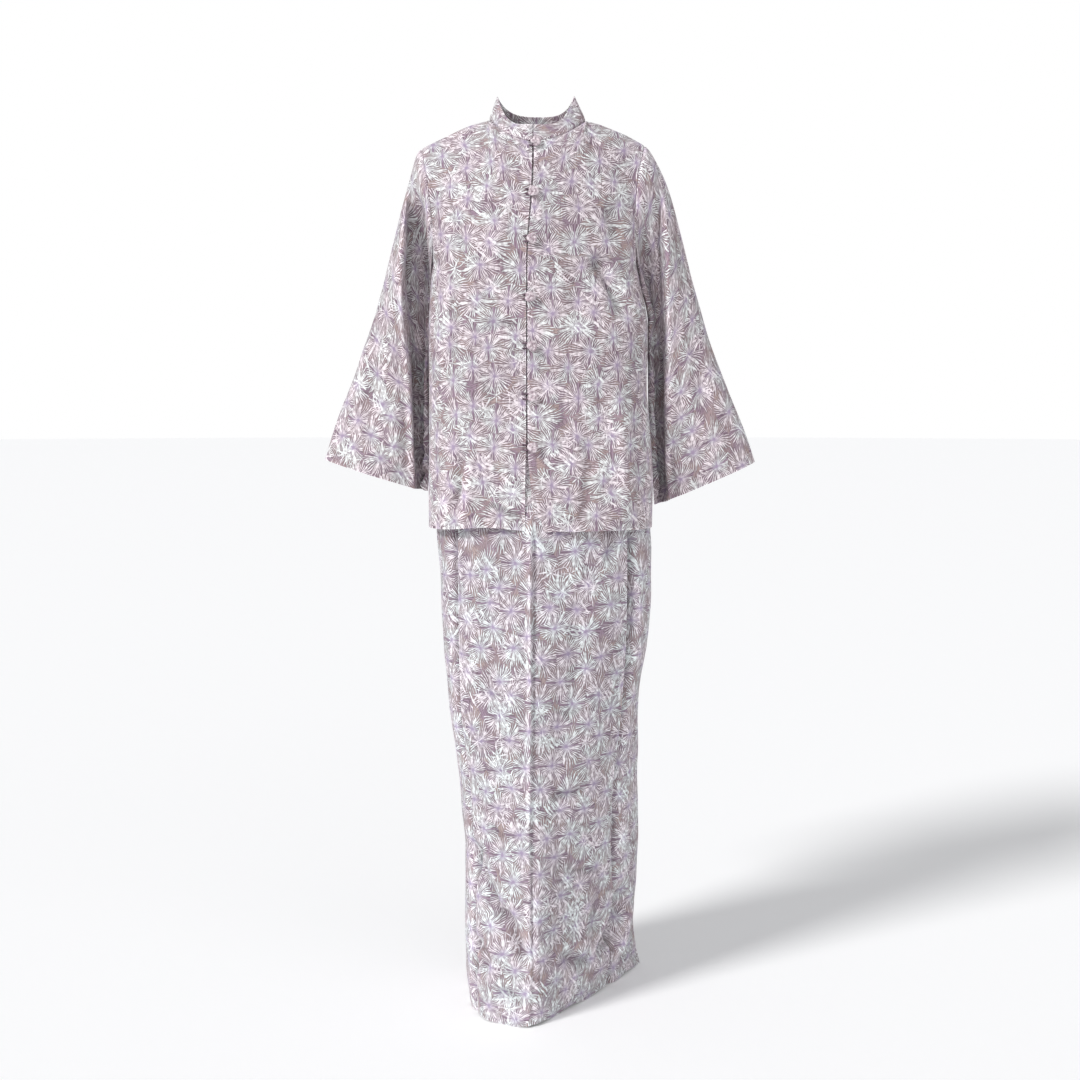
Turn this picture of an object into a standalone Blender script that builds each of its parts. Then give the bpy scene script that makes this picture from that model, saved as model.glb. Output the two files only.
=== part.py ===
"""Blouse and long skirt of printed cloth, standing open and filled out as when worn.

Metres, +Z up. The front faces -Y, the wearer's right side is at -X, and the origin is
at the base of the neck, level with the inner ends of the shoulder seams. Each piece that
a maker cuts is an object of its own: a grid of points on the garment's surface, whose
wall grows inwards.
"""
import math

import bmesh
import bpy
import numpy as np
from mathutils import Vector


def table(columns, *rows):
    """A table of sizes, as one array for each named column."""
    return dict(zip(columns.split(), np.array(rows, dtype=float).T))


# Cloth and seams
WALL = 0.002
SEAM = 0.0003
SIDE_PLANE_GAP = 0.8 * SEAM
WIDE_SEAM = 1.6 * SEAM

# Blouse body. A level is a closed outline with its widest points at y = 0:
# square is the power of its rounded corners, where 2 is an ellipse.
BODY = table(
    "z       right   left    front   back   square",
    (-0.648, -0.181, 0.183, -0.128, 0.118, 2.8),
    (-0.580, -0.181, 0.184, -0.127, 0.117, 2.8),
    (-0.500, -0.180, 0.180, -0.124, 0.111, 2.7),
    (-0.420, -0.180, 0.173, -0.120, 0.103, 2.6),
    (-0.335, -0.180, 0.175, -0.122, 0.100, 2.5),
    (-0.250, -0.176, 0.160, -0.119, 0.101, 2.4),
    (-0.225, -0.172, 0.155, -0.117, 0.102, 2.4),
)
UNDERARM_Z = -0.225
UNDERARM_LEVEL = 0.6
HEM_LIFT = 0.006
HEM_LIFT_X = -0.085
HEM_LIFT_HALF_WIDTH = 0.05

# Front opening: where its middle runs, and how far its two edges stand apart
OPENING = table(
    "z       middle   gap",
    (-0.648, -0.0170, 0.0130),
    (-0.600, -0.0185, 0.0090),
    (-0.530, -0.0205, 0.0020),
    (-0.420, -0.0208, 0.0014),
    (-0.250, -0.0205, 0.0014),
    (-0.170, -0.0185, 0.0014),
    (-0.100, -0.0145, 0.0014),
    (-0.040, -0.0110, 0.0014),
)

# Neckline and shoulders. neck is the inner end of the shoulder seam and tip its outer end.
SHOULDER = table(
    "neck_x  neck_z  tip_x   tip_z   sag",
    (-0.083, 0.002, -0.190, -0.042, 1.3),
    (0.075, 0.001, 0.168, -0.037, 1.4),
)
NECK_FRONT = (-0.075, -0.040)
NECK_BACK = (0.060, -0.015)
NECK_SHARE = 0.36
STATIONS = np.array((0, 0.072, 0.144, 0.216, 0.288, 0.36, 0.50, 0.64, 0.78, 0.90, 0.985, 1))
YOKE_RISES = np.concatenate((np.arange(10) / 10, [0.992, 1]))
CHEST_TILT = math.radians(60)
# Length of a quarter of the body's outline, roughly, and half the neck's width
QUARTER_LENGTH = 0.25
NECK_RADIUS = 0.07

# Armhole, a loop from the shoulder tip to the underarm: half its depth front to back,
# and how far its middle bows in towards the body
ARMHOLE = table(
    "under_x half_depth bow",
    (-0.172, 0.056, 0.0085),
    (0.155, 0.056, 0.0110),
)

# Sleeves, a ring for each row from the armhole to the cuff: outer and inner points,
# the ring's middle and its half depth front to back
SLEEVE_RIGHT = table(
    "along outer_x outer_z inner_x inner_z middle_y half_depth",
    (0.00, -0.190, -0.042, -0.1720, -0.225, 0.000, 0.056),
    (0.10, -0.2105, -0.094, -0.1770, -0.262, 0.010, 0.057),
    (0.25, -0.238, -0.185, -0.1805, -0.318, 0.020, 0.055),
    (0.45, -0.265, -0.288, -0.1812, -0.392, 0.028, 0.052),
    (0.65, -0.300, -0.386, -0.1815, -0.465, 0.032, 0.049),
    (0.85, -0.334, -0.472, -0.1825, -0.540, 0.034, 0.047),
    (1.00, -0.356, -0.541, -0.1860, -0.594, 0.035, 0.046),
)
SLEEVE_LEFT = table(
    "along outer_x outer_z inner_x inner_z middle_y half_depth",
    (0.00, 0.168, -0.037, 0.1550, -0.225, 0.000, 0.056),
    (0.10, 0.2035, -0.098, 0.1640, -0.264, 0.010, 0.057),
    (0.25, 0.232, -0.185, 0.1755, -0.322, 0.020, 0.055),
    (0.45, 0.261, -0.290, 0.1765, -0.400, 0.028, 0.052),
    (0.65, 0.294, -0.386, 0.1790, -0.476, 0.032, 0.049),
    (0.85, 0.330, -0.474, 0.1840, -0.554, 0.034, 0.047),
    (1.00, 0.356, -0.545, 0.1890, -0.616, 0.035, 0.046),
)
# A sleeve leaves its seam in line with the body for about CAP_EASE of its length, and
# the armhole's bow has faded by about BOW_FADE. UNDERARM_TURN and CAP_TURN are cosines
# of the turns between which the sleeve goes over from the one direction to the other.
CAP_EASE = 0.03
CAP_LENGTH = 0.55
BOW_FADE = 0.15
UNDERARM_TURN = -0.95
CAP_TURN = -0.15
SEAM_HOLD = 0.15
SLEEVE_SECTIONS = 12
FIRST_SECTIONS = (0.0, 0.008, 0.030)

# Underlap behind the opening: where its columns lie, as places on the outline
PLACKET_PLACES = (-0.05, 0.015, 0.08)
PLACKET_BOTTOM = 0.004

# Stand collar: its top edge above the neckline
COLLAR_TOP = table(
    "side_x side_z",
    (-0.069, 0.040),
    (0.056, 0.041),
)
COLLAR_TOP_FRONT = (-0.066, -0.014)
COLLAR_TOP_BACK = (0.056, 0.018)
COLLAR_RISES = (0.0, 0.35, 0.7, 1.0)

# Buttons and their loops, from the collar down
BUTTONS = table(
    "x       z",
    (-0.006, -0.046),
    (-0.010, -0.124),
    (-0.012, -0.196),
    (-0.015, -0.285),
    (-0.012, -0.360),
    (-0.011, -0.438),
    (-0.011, -0.517),
)
BALL_RADIUS = 0.0062
BALL_HALF_DEPTH = 0.0045
SHANK_RADIUS = 0.0022
SHANK_LENGTH = 0.0032
NECKING = math.radians(62)
LOOP_RADIUS = 0.0012
LOOP_BEND = 0.0042
LOOP_TAIL = 0.009

# Skirt. A level is a closed outline with a pressed crease at its front: crease is the
# crease's x, right_y and left_y are where the widest points lie, and round_right and
# round_left are the powers of the two front corners, where 1 is a straight face.
SKIRT = table(
    "z       right   left   front   back   crease  right_y left_y round_right round_left",
    (-1.440, -0.118, 0.178, -0.138, 0.156, -0.016, 0.050, 0.139, 3.1, 1.15),
    (-1.405, -0.124, 0.170, -0.138, 0.154, -0.016, 0.060, 0.130, 3.1, 1.25),
    (-1.351, -0.127, 0.164, -0.138, 0.152, -0.016, 0.065, 0.110, 3.1, 1.35),
    (-1.213, -0.127, 0.168, -0.137, 0.148, -0.016, 0.065, 0.080, 2.8, 1.50),
    (-1.076, -0.134, 0.165, -0.135, 0.142, -0.016, 0.040, 0.050, 2.6, 1.65),
    (-0.941, -0.151, 0.166, -0.132, 0.134, -0.015, 0.020, 0.028, 2.4, 1.80),
    (-0.807, -0.160, 0.181, -0.127, 0.124, -0.014, 0.005, 0.010, 2.3, 1.95),
    (-0.690, -0.166, 0.1830, -0.122, 0.113, -0.013, 0.000, 0.000, 2.2, 2.10),
    (-0.648, -0.168, 0.1806, -0.120, 0.110, -0.013, 0.000, 0.000, 2.2, 2.15),
    (-0.580, -0.165, 0.174, -0.116, 0.107, -0.012, 0.000, 0.000, 2.2, 2.20),
    (-0.500, -0.152, 0.158, -0.109, 0.098, -0.012, 0.000, 0.000, 2.2, 2.20),
    (-0.450, -0.138, 0.140, -0.100, 0.088, -0.012, 0.000, 0.000, 2.2, 2.20),
)
FLOOR_Z = -1.440
WAIST_Z = -0.450
BAND_HEIGHT = 0.030
BACK_ROUND = 2.2
BACK_MIDDLE = 0.02
SIDE_SEAM = 0.35
HEM_CROWDING = 1.15

# Folded edges of the skirt's front panel, which laps over the side panels
PANEL_EDGES = table(
    "z       right   left",
    (-1.440, -0.100, 0.112),
    (-1.335, -0.103, 0.121),
    (-1.213, -0.104, 0.121),
    (-1.090, -0.110, 0.121),
    (-0.930, -0.127, 0.133),
    (-0.800, -0.130, 0.139),
    (-0.648, -0.130, 0.139),
    (-0.450, -0.112, 0.116),
)
LAP = 0.014
LAP_RECOVERY = 0.030
VALLEY_PLACE = 0.006
VALLEY_HALF_WIDTH = 0.009
VALLEY_RIGHT = 0.003
VALLEY_LEFT = 0.007

# Largest folds, as a soft ridge or trough along a line. face is -1 on the front and
# +1 on the back, and height is negative for a trough.
BODY_FOLDS = table(
    "face x_start z_start x_end z_end half_width height",
    (-1, 0.077, -0.212, 0.142, -0.325, 0.016, -0.0050),
    (-1, 0.105, -0.130, 0.128, -0.200, 0.014, -0.0030),
    (-1, -0.100, -0.328, -0.030, -0.326, 0.012, -0.0025),
    (-1, -0.121, -0.500, -0.140, -0.625, 0.012, -0.0030),
    (-1, 0.120, -0.400, 0.132, -0.640, 0.018, 0.0040),
    (1, -0.075, -0.200, -0.060, -0.640, 0.022, -0.0050),
    (1, 0.070, -0.250, 0.085, -0.640, 0.022, -0.0045),
    (1, 0.005, -0.330, 0.000, -0.640, 0.020, 0.0035),
)
SLEEVE_FOLDS = table(
    "face x_start z_start x_end z_end half_width height",
    (-1, -0.196, -0.120, -0.203, -0.340, 0.011, -0.0070),
    (-1, -0.203, -0.340, -0.192, -0.560, 0.011, -0.0060),
    (-1, -0.262, -0.380, -0.284, -0.520, 0.016, -0.0035),
    (-1, -0.232, -0.420, -0.240, -0.550, 0.014, 0.0030),
    (-1, 0.164, -0.110, 0.180, -0.330, 0.011, -0.0060),
    (-1, 0.192, -0.330, 0.198, -0.580, 0.011, -0.0055),
    (-1, 0.242, -0.315, 0.269, -0.500, 0.016, -0.0035),
    (-1, 0.222, -0.480, 0.232, -0.585, 0.012, 0.0030),
    (1, -0.205, -0.150, -0.225, -0.420, 0.014, -0.0060),
    (1, -0.270, -0.350, -0.300, -0.530, 0.016, -0.0040),
    (1, 0.190, -0.160, 0.215, -0.420, 0.014, -0.0060),
    (1, 0.265, -0.360, 0.300, -0.530, 0.016, -0.0040),
)
SKIRT_FOLDS = table(
    "face x_start z_start x_end z_end half_width height",
    (-1, -0.016, -0.600, -0.016, -1.130, 0.007, 0.0030),
    (-1, 0.109, -0.620, 0.112, -0.720, 0.008, -0.0035),
    (-1, -0.111, -1.143, -0.080, -1.240, 0.014, -0.0060),
    (-1, -0.080, -1.240, -0.028, -1.330, 0.013, -0.0060),
    (-1, -0.118, -1.300, -0.085, -1.345, 0.011, -0.0045),
    (-1, -0.070, -1.380, -0.030, -1.405, 0.010, -0.0035),
    (-1, 0.012, -1.070, 0.080, -1.066, 0.012, -0.0025),
    (-1, 0.030, -1.330, 0.090, -1.372, 0.014, -0.0045),
    (1, -0.050, -0.700, -0.060, -1.420, 0.026, 0.0080),
    (1, 0.015, -0.750, 0.010, -1.420, 0.024, -0.0080),
    (1, 0.075, -0.700, 0.090, -1.420, 0.026, 0.0070),
)

CLOTH_COLOUR = (0.47, 0.38, 0.42, 1.0)
BUTTON_COLOUR = (0.40, 0.31, 0.35, 1.0)


def smooth(place, places, values):
    """Values read off a smooth curve through a table, with no overshoot between rows."""
    place = np.clip(place, places[0], places[-1])
    step = np.diff(places)
    slope = np.diff(values) / step
    product = slope[:-1] * slope[1:]
    total = slope[:-1] + slope[1:]
    turn = np.where(product > 0, 2 * product / np.where(product > 0, total, 1), 0)
    slopes = np.concatenate(([slope[0]], turn, [slope[-1]]))
    row = np.clip(np.searchsorted(places, place, side="right") - 1, 0, len(step) - 1)
    t = (place - places[row]) / step[row]
    start = values[row] * (1 + 2 * t) + slopes[row] * step[row] * t
    end = values[row + 1] * (3 - 2 * t) - slopes[row + 1] * step[row] * (1 - t)
    return start * (1 - t) ** 2 + end * t ** 2


def ease(value):
    """0 to 1 with level ends."""
    value = np.clip(value, 0, 1)
    return value * value * (3 - 2 * value)


def quarter(start, end, power, share):
    """Points at shares of the length of a rounded corner, from the front or back point
    start to the side point end. Both are (x, y)."""
    turn = np.linspace(0, math.pi / 2, 241)
    x = start[0] + (end[0] - start[0]) * np.sin(turn) ** (2 / power)
    y = end[1] + (start[1] - end[1]) * np.cos(turn) ** (2 / power)
    length = np.concatenate(([0], np.cumsum(np.hypot(np.diff(x), np.diff(y)))))
    return np.interp(share * length[-1], length, x), np.interp(share * length[-1], length, y)


def outline(place, corners):
    """Points of a closed level. place runs anticlockwise from above: 0 is the front, 1 the
    wearer's left side, 2 the back and 3 the right side. corners holds start, end and
    power of the front-left, back-left, back-right and front-right quarters."""
    place = np.mod(place, 4)
    x, y = np.zeros_like(place), np.zeros_like(place)
    for number, (start, end, power) in enumerate(corners):
        inside = (place >= number) & (place <= number + 1)
        share = place[inside] - number
        share = share if number % 2 == 0 else 1 - share
        x[inside], y[inside] = quarter(start, end, power, share)
    return x, y


def outward(points, closed):
    """Unit normals of a grid of points whose columns run anticlockwise from above."""
    up = np.gradient(points, axis=0)
    if closed:
        ring = points[:, :-1]
        across = np.roll(ring, -1, axis=1) - np.roll(ring, 1, axis=1)
        across = np.concatenate((across, across[:, :1]), axis=1)
    else:
        across = np.gradient(points, axis=1)
    normals = np.cross(across, up)
    return normals / np.linalg.norm(normals, axis=2, keepdims=True)


def folded(points, folds, free, closed=False):
    """The grid with its folds raised or sunk along its normals. free is 1 where the cloth
    can move and 0 where a seam holds it."""
    normals = outward(points, closed)
    height = np.zeros(points.shape[:2])
    x, z = points[..., 0], points[..., 2]
    for face, x0, z0, x1, z1, half_width, fold in zip(*folds.values()):
        run_x, run_z = x1 - x0, z1 - z0
        along = np.clip(((x - x0) * run_x + (z - z0) * run_z) / (run_x ** 2 + run_z ** 2), 0, 1)
        apart = np.hypot(x - x0 - along * run_x, z - z0 - along * run_z)
        facing = ease(1.6 * face * normals[..., 1])
        taper = np.sin(math.pi * (0.15 + 0.70 * along))
        height += fold * taper * facing * np.exp(-(apart / half_width) ** 2)
    return points + normals * (height * free)[..., None]


def cloth(name, points, closed=False, colour=CLOTH_COLOUR):
    """A piece of cloth: a grid moved onto its points, welded where it closes on itself,
    with a wall that grows inwards."""
    rows, columns = points.shape[:2]
    work = bmesh.new()
    bmesh.ops.create_grid(work, x_segments=columns - 1, y_segments=rows - 1, size=1)
    for vertex, place in zip(work.verts, points.reshape(-1, 3)):
        vertex.co = place
    if closed:
        bmesh.ops.remove_doubles(work, verts=work.verts, dist=1e-5)
    mesh = bpy.data.meshes.new(name)
    work.to_mesh(mesh)
    work.free()
    mesh.shade_smooth()
    piece = bpy.data.objects.new(name, mesh)
    GARMENT.objects.link(piece)
    wall = piece.modifiers.new("Wall", "SOLIDIFY")
    wall.thickness = WALL
    wall.offset = -1
    finish(piece, colour)
    return piece


def finish(piece, colour):
    """Gives a piece a material of its own."""
    material = bpy.data.materials.new(piece.name)
    material.use_nodes = True
    shader = material.node_tree.nodes["Principled BSDF"]
    shader.inputs["Base Color"].default_value = colour
    shader.inputs["Roughness"].default_value = 0.8
    shader.inputs["Metallic"].default_value = 0.0
    material.diffuse_color = colour
    piece.data.materials.append(material)


def armhole(side, turn):
    """Points of the armhole seam. turn is 0 at the shoulder tip, a quarter turn at the
    middle of the front and half a turn at the underarm; past that it comes up the back."""
    tip_x, tip_z = SHOULDER["tip_x"][side], SHOULDER["tip_z"][side]
    under_x = ARMHOLE["under_x"][side]
    bow = ARMHOLE["bow"][side] * (1 if side == 0 else -1)
    x = (tip_x + under_x) / 2 + (tip_x - under_x) / 2 * np.cos(turn) + bow * np.sin(turn) ** 2
    y = -ARMHOLE["half_depth"][side] * np.sin(turn)
    z = (tip_z + UNDERARM_Z) / 2 + (tip_z - UNDERARM_Z) / 2 * np.cos(turn)
    return np.stack((x, y, z), axis=-1)


def body_level(place, z):
    """Points of the blouse body at one level below the underarm."""
    right, left, front, back, square = [
        smooth(z, BODY["z"], BODY[name]) for name in ("right", "left", "front", "back", "square")]
    middle = smooth(z, OPENING["z"], OPENING["middle"])
    front_point, back_point = (middle, front), (0.0, back)
    corners = (
        (front_point, (left, 0.0), square), (back_point, (left, 0.0), square),
        (back_point, (right, 0.0), square), (front_point, (right, 0.0), square))
    return outline(place, corners)


def yoke_edge(side, front, share):
    """Points of a panel's top edge: the neckline, then the shoulder seam."""
    neck_y, neck_z = NECK_FRONT if front else NECK_BACK
    neck_x = OPENING["middle"][-1] if front else 0.0
    high_x, high_z = SHOULDER["neck_x"][side], SHOULDER["neck_z"][side]
    tip_x, tip_z = SHOULDER["tip_x"][side], SHOULDER["tip_z"][side]
    on_neck = np.clip(share / NECK_SHARE, 0, 1)
    x, y = quarter((neck_x, neck_y), (high_x, 0.0), 2.0, on_neck)
    z = neck_z + (high_z - neck_z) * ((x - neck_x) / (high_x - neck_x)) ** 2
    on_seam = np.clip((share - NECK_SHARE) / (1 - NECK_SHARE), 0, 1)
    x = x + (tip_x - high_x) * on_seam
    z = z + (tip_z - high_z) * on_seam ** SHOULDER["sag"][side]
    return x, y, z


def body_points(place, levels, seams_in_front=True):
    """Grid of points on the blouse body. place is as in outline. levels run from 0 at the
    hem to 1 at the neckline and shoulder seams, with the underarm at UNDERARM_LEVEL.
    seams_in_front is false where a column on a side seam belongs to the back."""
    place = np.asarray(place, dtype=float)
    around = np.mod(place, 4)
    front = (around < 1) | (around > 3)
    if seams_in_front:
        front = front | (around == 1) | (around == 3)
    side = np.where(around <= 2, 1, 0)
    share = np.where(np.mod(np.floor(around), 2) == 0, np.mod(around, 1), 1 - np.mod(around, 1))
    share = np.where(around == np.floor(around), np.mod(around, 2), share)
    grid = np.zeros((len(levels), len(place), 3))
    hem_z = BODY["z"][0]
    for row, level in enumerate(levels):
        below = min(level / UNDERARM_LEVEL, 1)
        z = hem_z + (UNDERARM_Z - hem_z) * below
        x, y = body_level(around, z)
        lift = np.exp(-((x - HEM_LIFT_X) / HEM_LIFT_HALF_WIDTH) ** 2) * front
        grid[row] = np.stack((x, y, z + HEM_LIFT * lift * (1 - below) ** 3), axis=-1)
        if level <= UNDERARM_LEVEL:
            continue
        rise = (level - UNDERARM_LEVEL) / (1 - UNDERARM_LEVEL)
        for number in (0, 1):
            for is_front in (True, False):
                here = (side == number) & (front == is_front)
                if here.any():
                    grid[row, here] = yoke_points(number, is_front, share[here], rise, x[here], y[here])
    return grid


def yoke_points(side, is_front, share, rise, x0, y0):
    """One level of the body above the underarm, as a rounded slope from the underarm level
    (x0, y0) to the top edge, drawn to the armhole seam at the side."""
    x1, y1, z1 = yoke_edge(side, is_front, share)
    on_neck = np.clip(share / NECK_SHARE, 0, 1) ** 2
    full = CHEST_TILT + (math.pi / 2 - CHEST_TILT) * on_neck
    climb = math.sin(math.pi / 2 * rise) ** 2
    turn = full * math.asin(climb) / (math.pi / 2)
    x = x0 + (x1 - x0) * ease(climb)
    y = y1 + (y0 - y1) * (np.cos(turn) - np.cos(full)) / (1 - np.cos(full))
    z = UNDERARM_Z + (z1 - UNDERARM_Z) * np.sin(turn) / np.sin(full)
    turn_edge = math.pi * (1 - rise)
    seam = armhole(side, turn_edge if is_front else -turn_edge)
    edge_x1, edge_z1 = SHOULDER["tip_x"][side], SHOULDER["tip_z"][side]
    edge_x0 = BODY["left" if side else "right"][-1]
    edge = np.array((edge_x0 + (edge_x1 - edge_x0) * ease(climb), 0.0,
                     UNDERARM_Z + (edge_z1 - UNDERARM_Z) * climb))
    return np.stack((x, y, z), axis=-1) + (share ** 4)[:, None] * (seam - edge)


def clear_of_side_plane(points, front):
    """Stops a front or back panel just short of the plane y = 0."""
    y = points[..., 1]
    gap = SIDE_PLANE_GAP
    points[..., 1] = np.minimum(y, -gap) if front else np.maximum(y, gap)
    return points


def panel_levels():
    """Levels of the body panels, closer together at the shoulder seam."""
    below = np.linspace(0, UNDERARM_LEVEL, 11)
    return np.concatenate((below, UNDERARM_LEVEL + (1 - UNDERARM_LEVEL) * YOKE_RISES[1:]))


def opening_edge(levels, sign):
    """Place of a front panel's edge on each level, as a share of the quarter outline."""
    z = OPENING["z"][0] + (OPENING["z"][-1] - OPENING["z"][0]) * levels
    return sign * smooth(z, OPENING["z"], OPENING["gap"]) / 2 / QUARTER_LENGTH


def front_panel(sign):
    """A front panel, from the opening to the side seam. sign is -1 on the wearer's right."""
    levels = panel_levels()
    grid = np.zeros((len(levels), len(STATIONS), 3))
    for row, (level, edge) in enumerate(zip(levels, opening_edge(levels, sign))):
        place = edge + (sign - edge) * STATIONS
        grid[row] = body_points(place, [level])[0]
    free = 1 - STATIONS ** 8
    grid, free = (grid, free) if sign > 0 else (grid[:, ::-1], free[::-1])
    return clear_of_side_plane(folded(grid, BODY_FOLDS, free), True)


def back_panel():
    """The back panel, from the left side seam round to the right one."""
    places = np.concatenate((2 - STATIONS[::-1], 2 + STATIONS[1:]))
    free = 1 - np.abs(places - 2) ** 8
    grid = folded(body_points(places, panel_levels(), False), BODY_FOLDS, free)
    return clear_of_side_plane(grid, False)


def placket_strip():
    """The underlap, a flat strip just inside the two front edges."""
    levels = panel_levels()[:-1]
    levels[0] = PLACKET_BOTTOM
    grid = folded(body_points(PLACKET_PLACES, levels), BODY_FOLDS, 1)
    return grid - outward(grid, False) * (WALL + 2 * SEAM)


def collar_ring():
    """The stand collar, from one front edge round the neck to the other."""
    on_neck = STATIONS[STATIONS <= NECK_SHARE]
    edge = opening_edge(1.0, 1)
    front_shares = (edge + (1 - edge) * on_neck) / NECK_SHARE
    front_shares[-1] = 1.0
    back_shares = on_neck / NECK_SHARE
    rows = []
    inset = 1 - SEAM / NECK_RADIUS
    for up in COLLAR_RISES:
        parts = []
        for side, front, shares in ((1, True, front_shares), (1, False, back_shares[-2::-1]),
                                    (0, False, back_shares[1:]), (0, True, front_shares[-2::-1])):
            neck_y, neck_z = NECK_FRONT if front else NECK_BACK
            top_y, top_z = COLLAR_TOP_FRONT if front else COLLAR_TOP_BACK
            neck_x = OPENING["middle"][-1] if front else 0.0
            low_x, low_z = SHOULDER["neck_x"][side], SHOULDER["neck_z"][side]
            high_x, high_z = COLLAR_TOP["side_x"][side], COLLAR_TOP["side_z"][side]
            x0, y0 = quarter((neck_x, neck_y), (low_x, 0.0), 2.0, shares)
            z0 = neck_z + (low_z - neck_z) * ((x0 - neck_x) / (low_x - neck_x)) ** 2
            x1, y1 = quarter((neck_x, top_y), (high_x, 0.0), 2.0, shares)
            z1 = top_z + (high_z - top_z) * ((x1 - neck_x) / (high_x - neck_x)) ** 4
            base = np.stack((neck_x + (x0 - neck_x) * inset, y0 * inset, z0 + SEAM), axis=-1)
            parts.append(base + (np.stack((x1, y1, z1), axis=-1) - base) * up)
        rows.append(np.concatenate(parts))
    return np.array(rows)


def sleeve_tube(side, sizes):
    """A sleeve from its armhole seam to its cuff. It leaves the seam in line with the
    body's surface, except at the underarm, where it turns down beside the body."""
    along = np.concatenate((FIRST_SECTIONS, np.linspace(0, 1, SLEEVE_SECTIONS)[1:]))
    hand = 1 if side else -1
    front_turn = math.pi * (1 - YOKE_RISES[::-1])
    turn = np.concatenate((front_turn, 2 * math.pi - front_turn[-2::-1]))
    rings = []
    start_pull = body_direction(side, turn)
    for place in along:
        row = {name: smooth(place, sizes["along"], column) for name, column in sizes.items()}
        middle = np.array(((row["outer_x"] + row["inner_x"]) / 2, row["middle_y"],
                           (row["outer_z"] + row["inner_z"]) / 2))
        half = np.array(((row["outer_x"] - row["inner_x"]) / 2, 0.0,
                         (row["outer_z"] - row["inner_z"]) / 2))
        ring = middle + half * np.cos(turn)[:, None]
        ring[:, 1] -= row["half_depth"] * np.sin(turn)
        bow = ARMHOLE["bow"][side] * math.exp(-place / BOW_FADE) * -hand
        ring[:, 0] += bow * np.sin(turn) ** 2
        rings.append(ring)
    rings = np.array(rings)
    own_pull = rings[1] - rings[0]
    strip = np.linalg.norm(own_pull, axis=1, keepdims=True)
    own_pull = own_pull / strip
    weight = ease((np.cos(turn) - UNDERARM_TURN) / (CAP_TURN - UNDERARM_TURN))[:, None]
    bend = weight * (start_pull - own_pull)
    reach = CAP_LENGTH * along * np.exp(-along / CAP_EASE)
    rings = rings + reach[:, None, None] * bend
    first = weight * start_pull + (1 - weight) * own_pull
    first = first / np.linalg.norm(first, axis=1, keepdims=True)
    rings[0] += WIDE_SEAM * first
    rings[1] = rings[0] + strip * first
    rings[:, :, 0] += hand * 2 * SEAM * (1 - weight[:, 0])
    rings[:, -1] = rings[:, 0]
    rings = rings[::-1, ::-1] if side else rings[::-1]
    free = ease(along[::-1] / SEAM_HOLD)[:, None]
    return folded(rings, SLEEVE_FOLDS, free, closed=True)


def body_direction(side, turn):
    """The way in which the body's surface runs out over the armhole seam."""
    pulls = []
    for angle in turn:
        is_front = math.sin(angle) >= 0
        rise = 1 - abs(math.remainder(angle, 2 * math.pi)) / math.pi
        level = UNDERARM_LEVEL + (1 - UNDERARM_LEVEL) * rise
        step = -0.02 if is_front else 0.02
        places = np.array((1 + step, 1)) * (1 if side else -1)
        near, seam = body_points(places, [level], is_front)[0]
        pull = (seam - near) / np.linalg.norm(seam - near)
        run = armhole(side, angle + 0.01) - armhole(side, angle - 0.01)
        run /= np.linalg.norm(run)
        pulls.append(pull - np.dot(pull, run) * run)
    pulls = np.array(pulls)
    return pulls / np.linalg.norm(pulls, axis=1, keepdims=True)


def skirt_sizes(z):
    """The skirt's table read at one height."""
    return {name: smooth(z, SKIRT["z"], column) for name, column in SKIRT.items()}


def skirt_corners(size):
    """The four rounded corners of one level of the skirt."""
    left, right = (size["left"], size["left_y"]), (size["right"], size["right_y"])
    crease, back = (size["crease"], size["front"]), (BACK_MIDDLE, size["back"])
    return ((crease, left, size["round_left"]), (back, left, BACK_ROUND),
            (back, right, BACK_ROUND), (crease, right, size["round_right"]))


def edge_place(corner, edge_x):
    """Share of a front quarter at which it reaches edge_x, and the quarter's length."""
    start, end, power = corner
    shares = np.linspace(0, 1, 241)
    x, y = quarter(start, end, power, shares)
    length = np.hypot(np.diff(x), np.diff(y)).sum()
    order = np.argsort(x)
    return np.interp(edge_x, x[order], shares[order]), length


def skirt_rows(count):
    """Heights of the skirt's levels, closer together near the floor."""
    return FLOOR_Z + (WAIST_Z - FLOOR_Z) * np.linspace(0, 1, count) ** HEM_CROWDING


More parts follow.
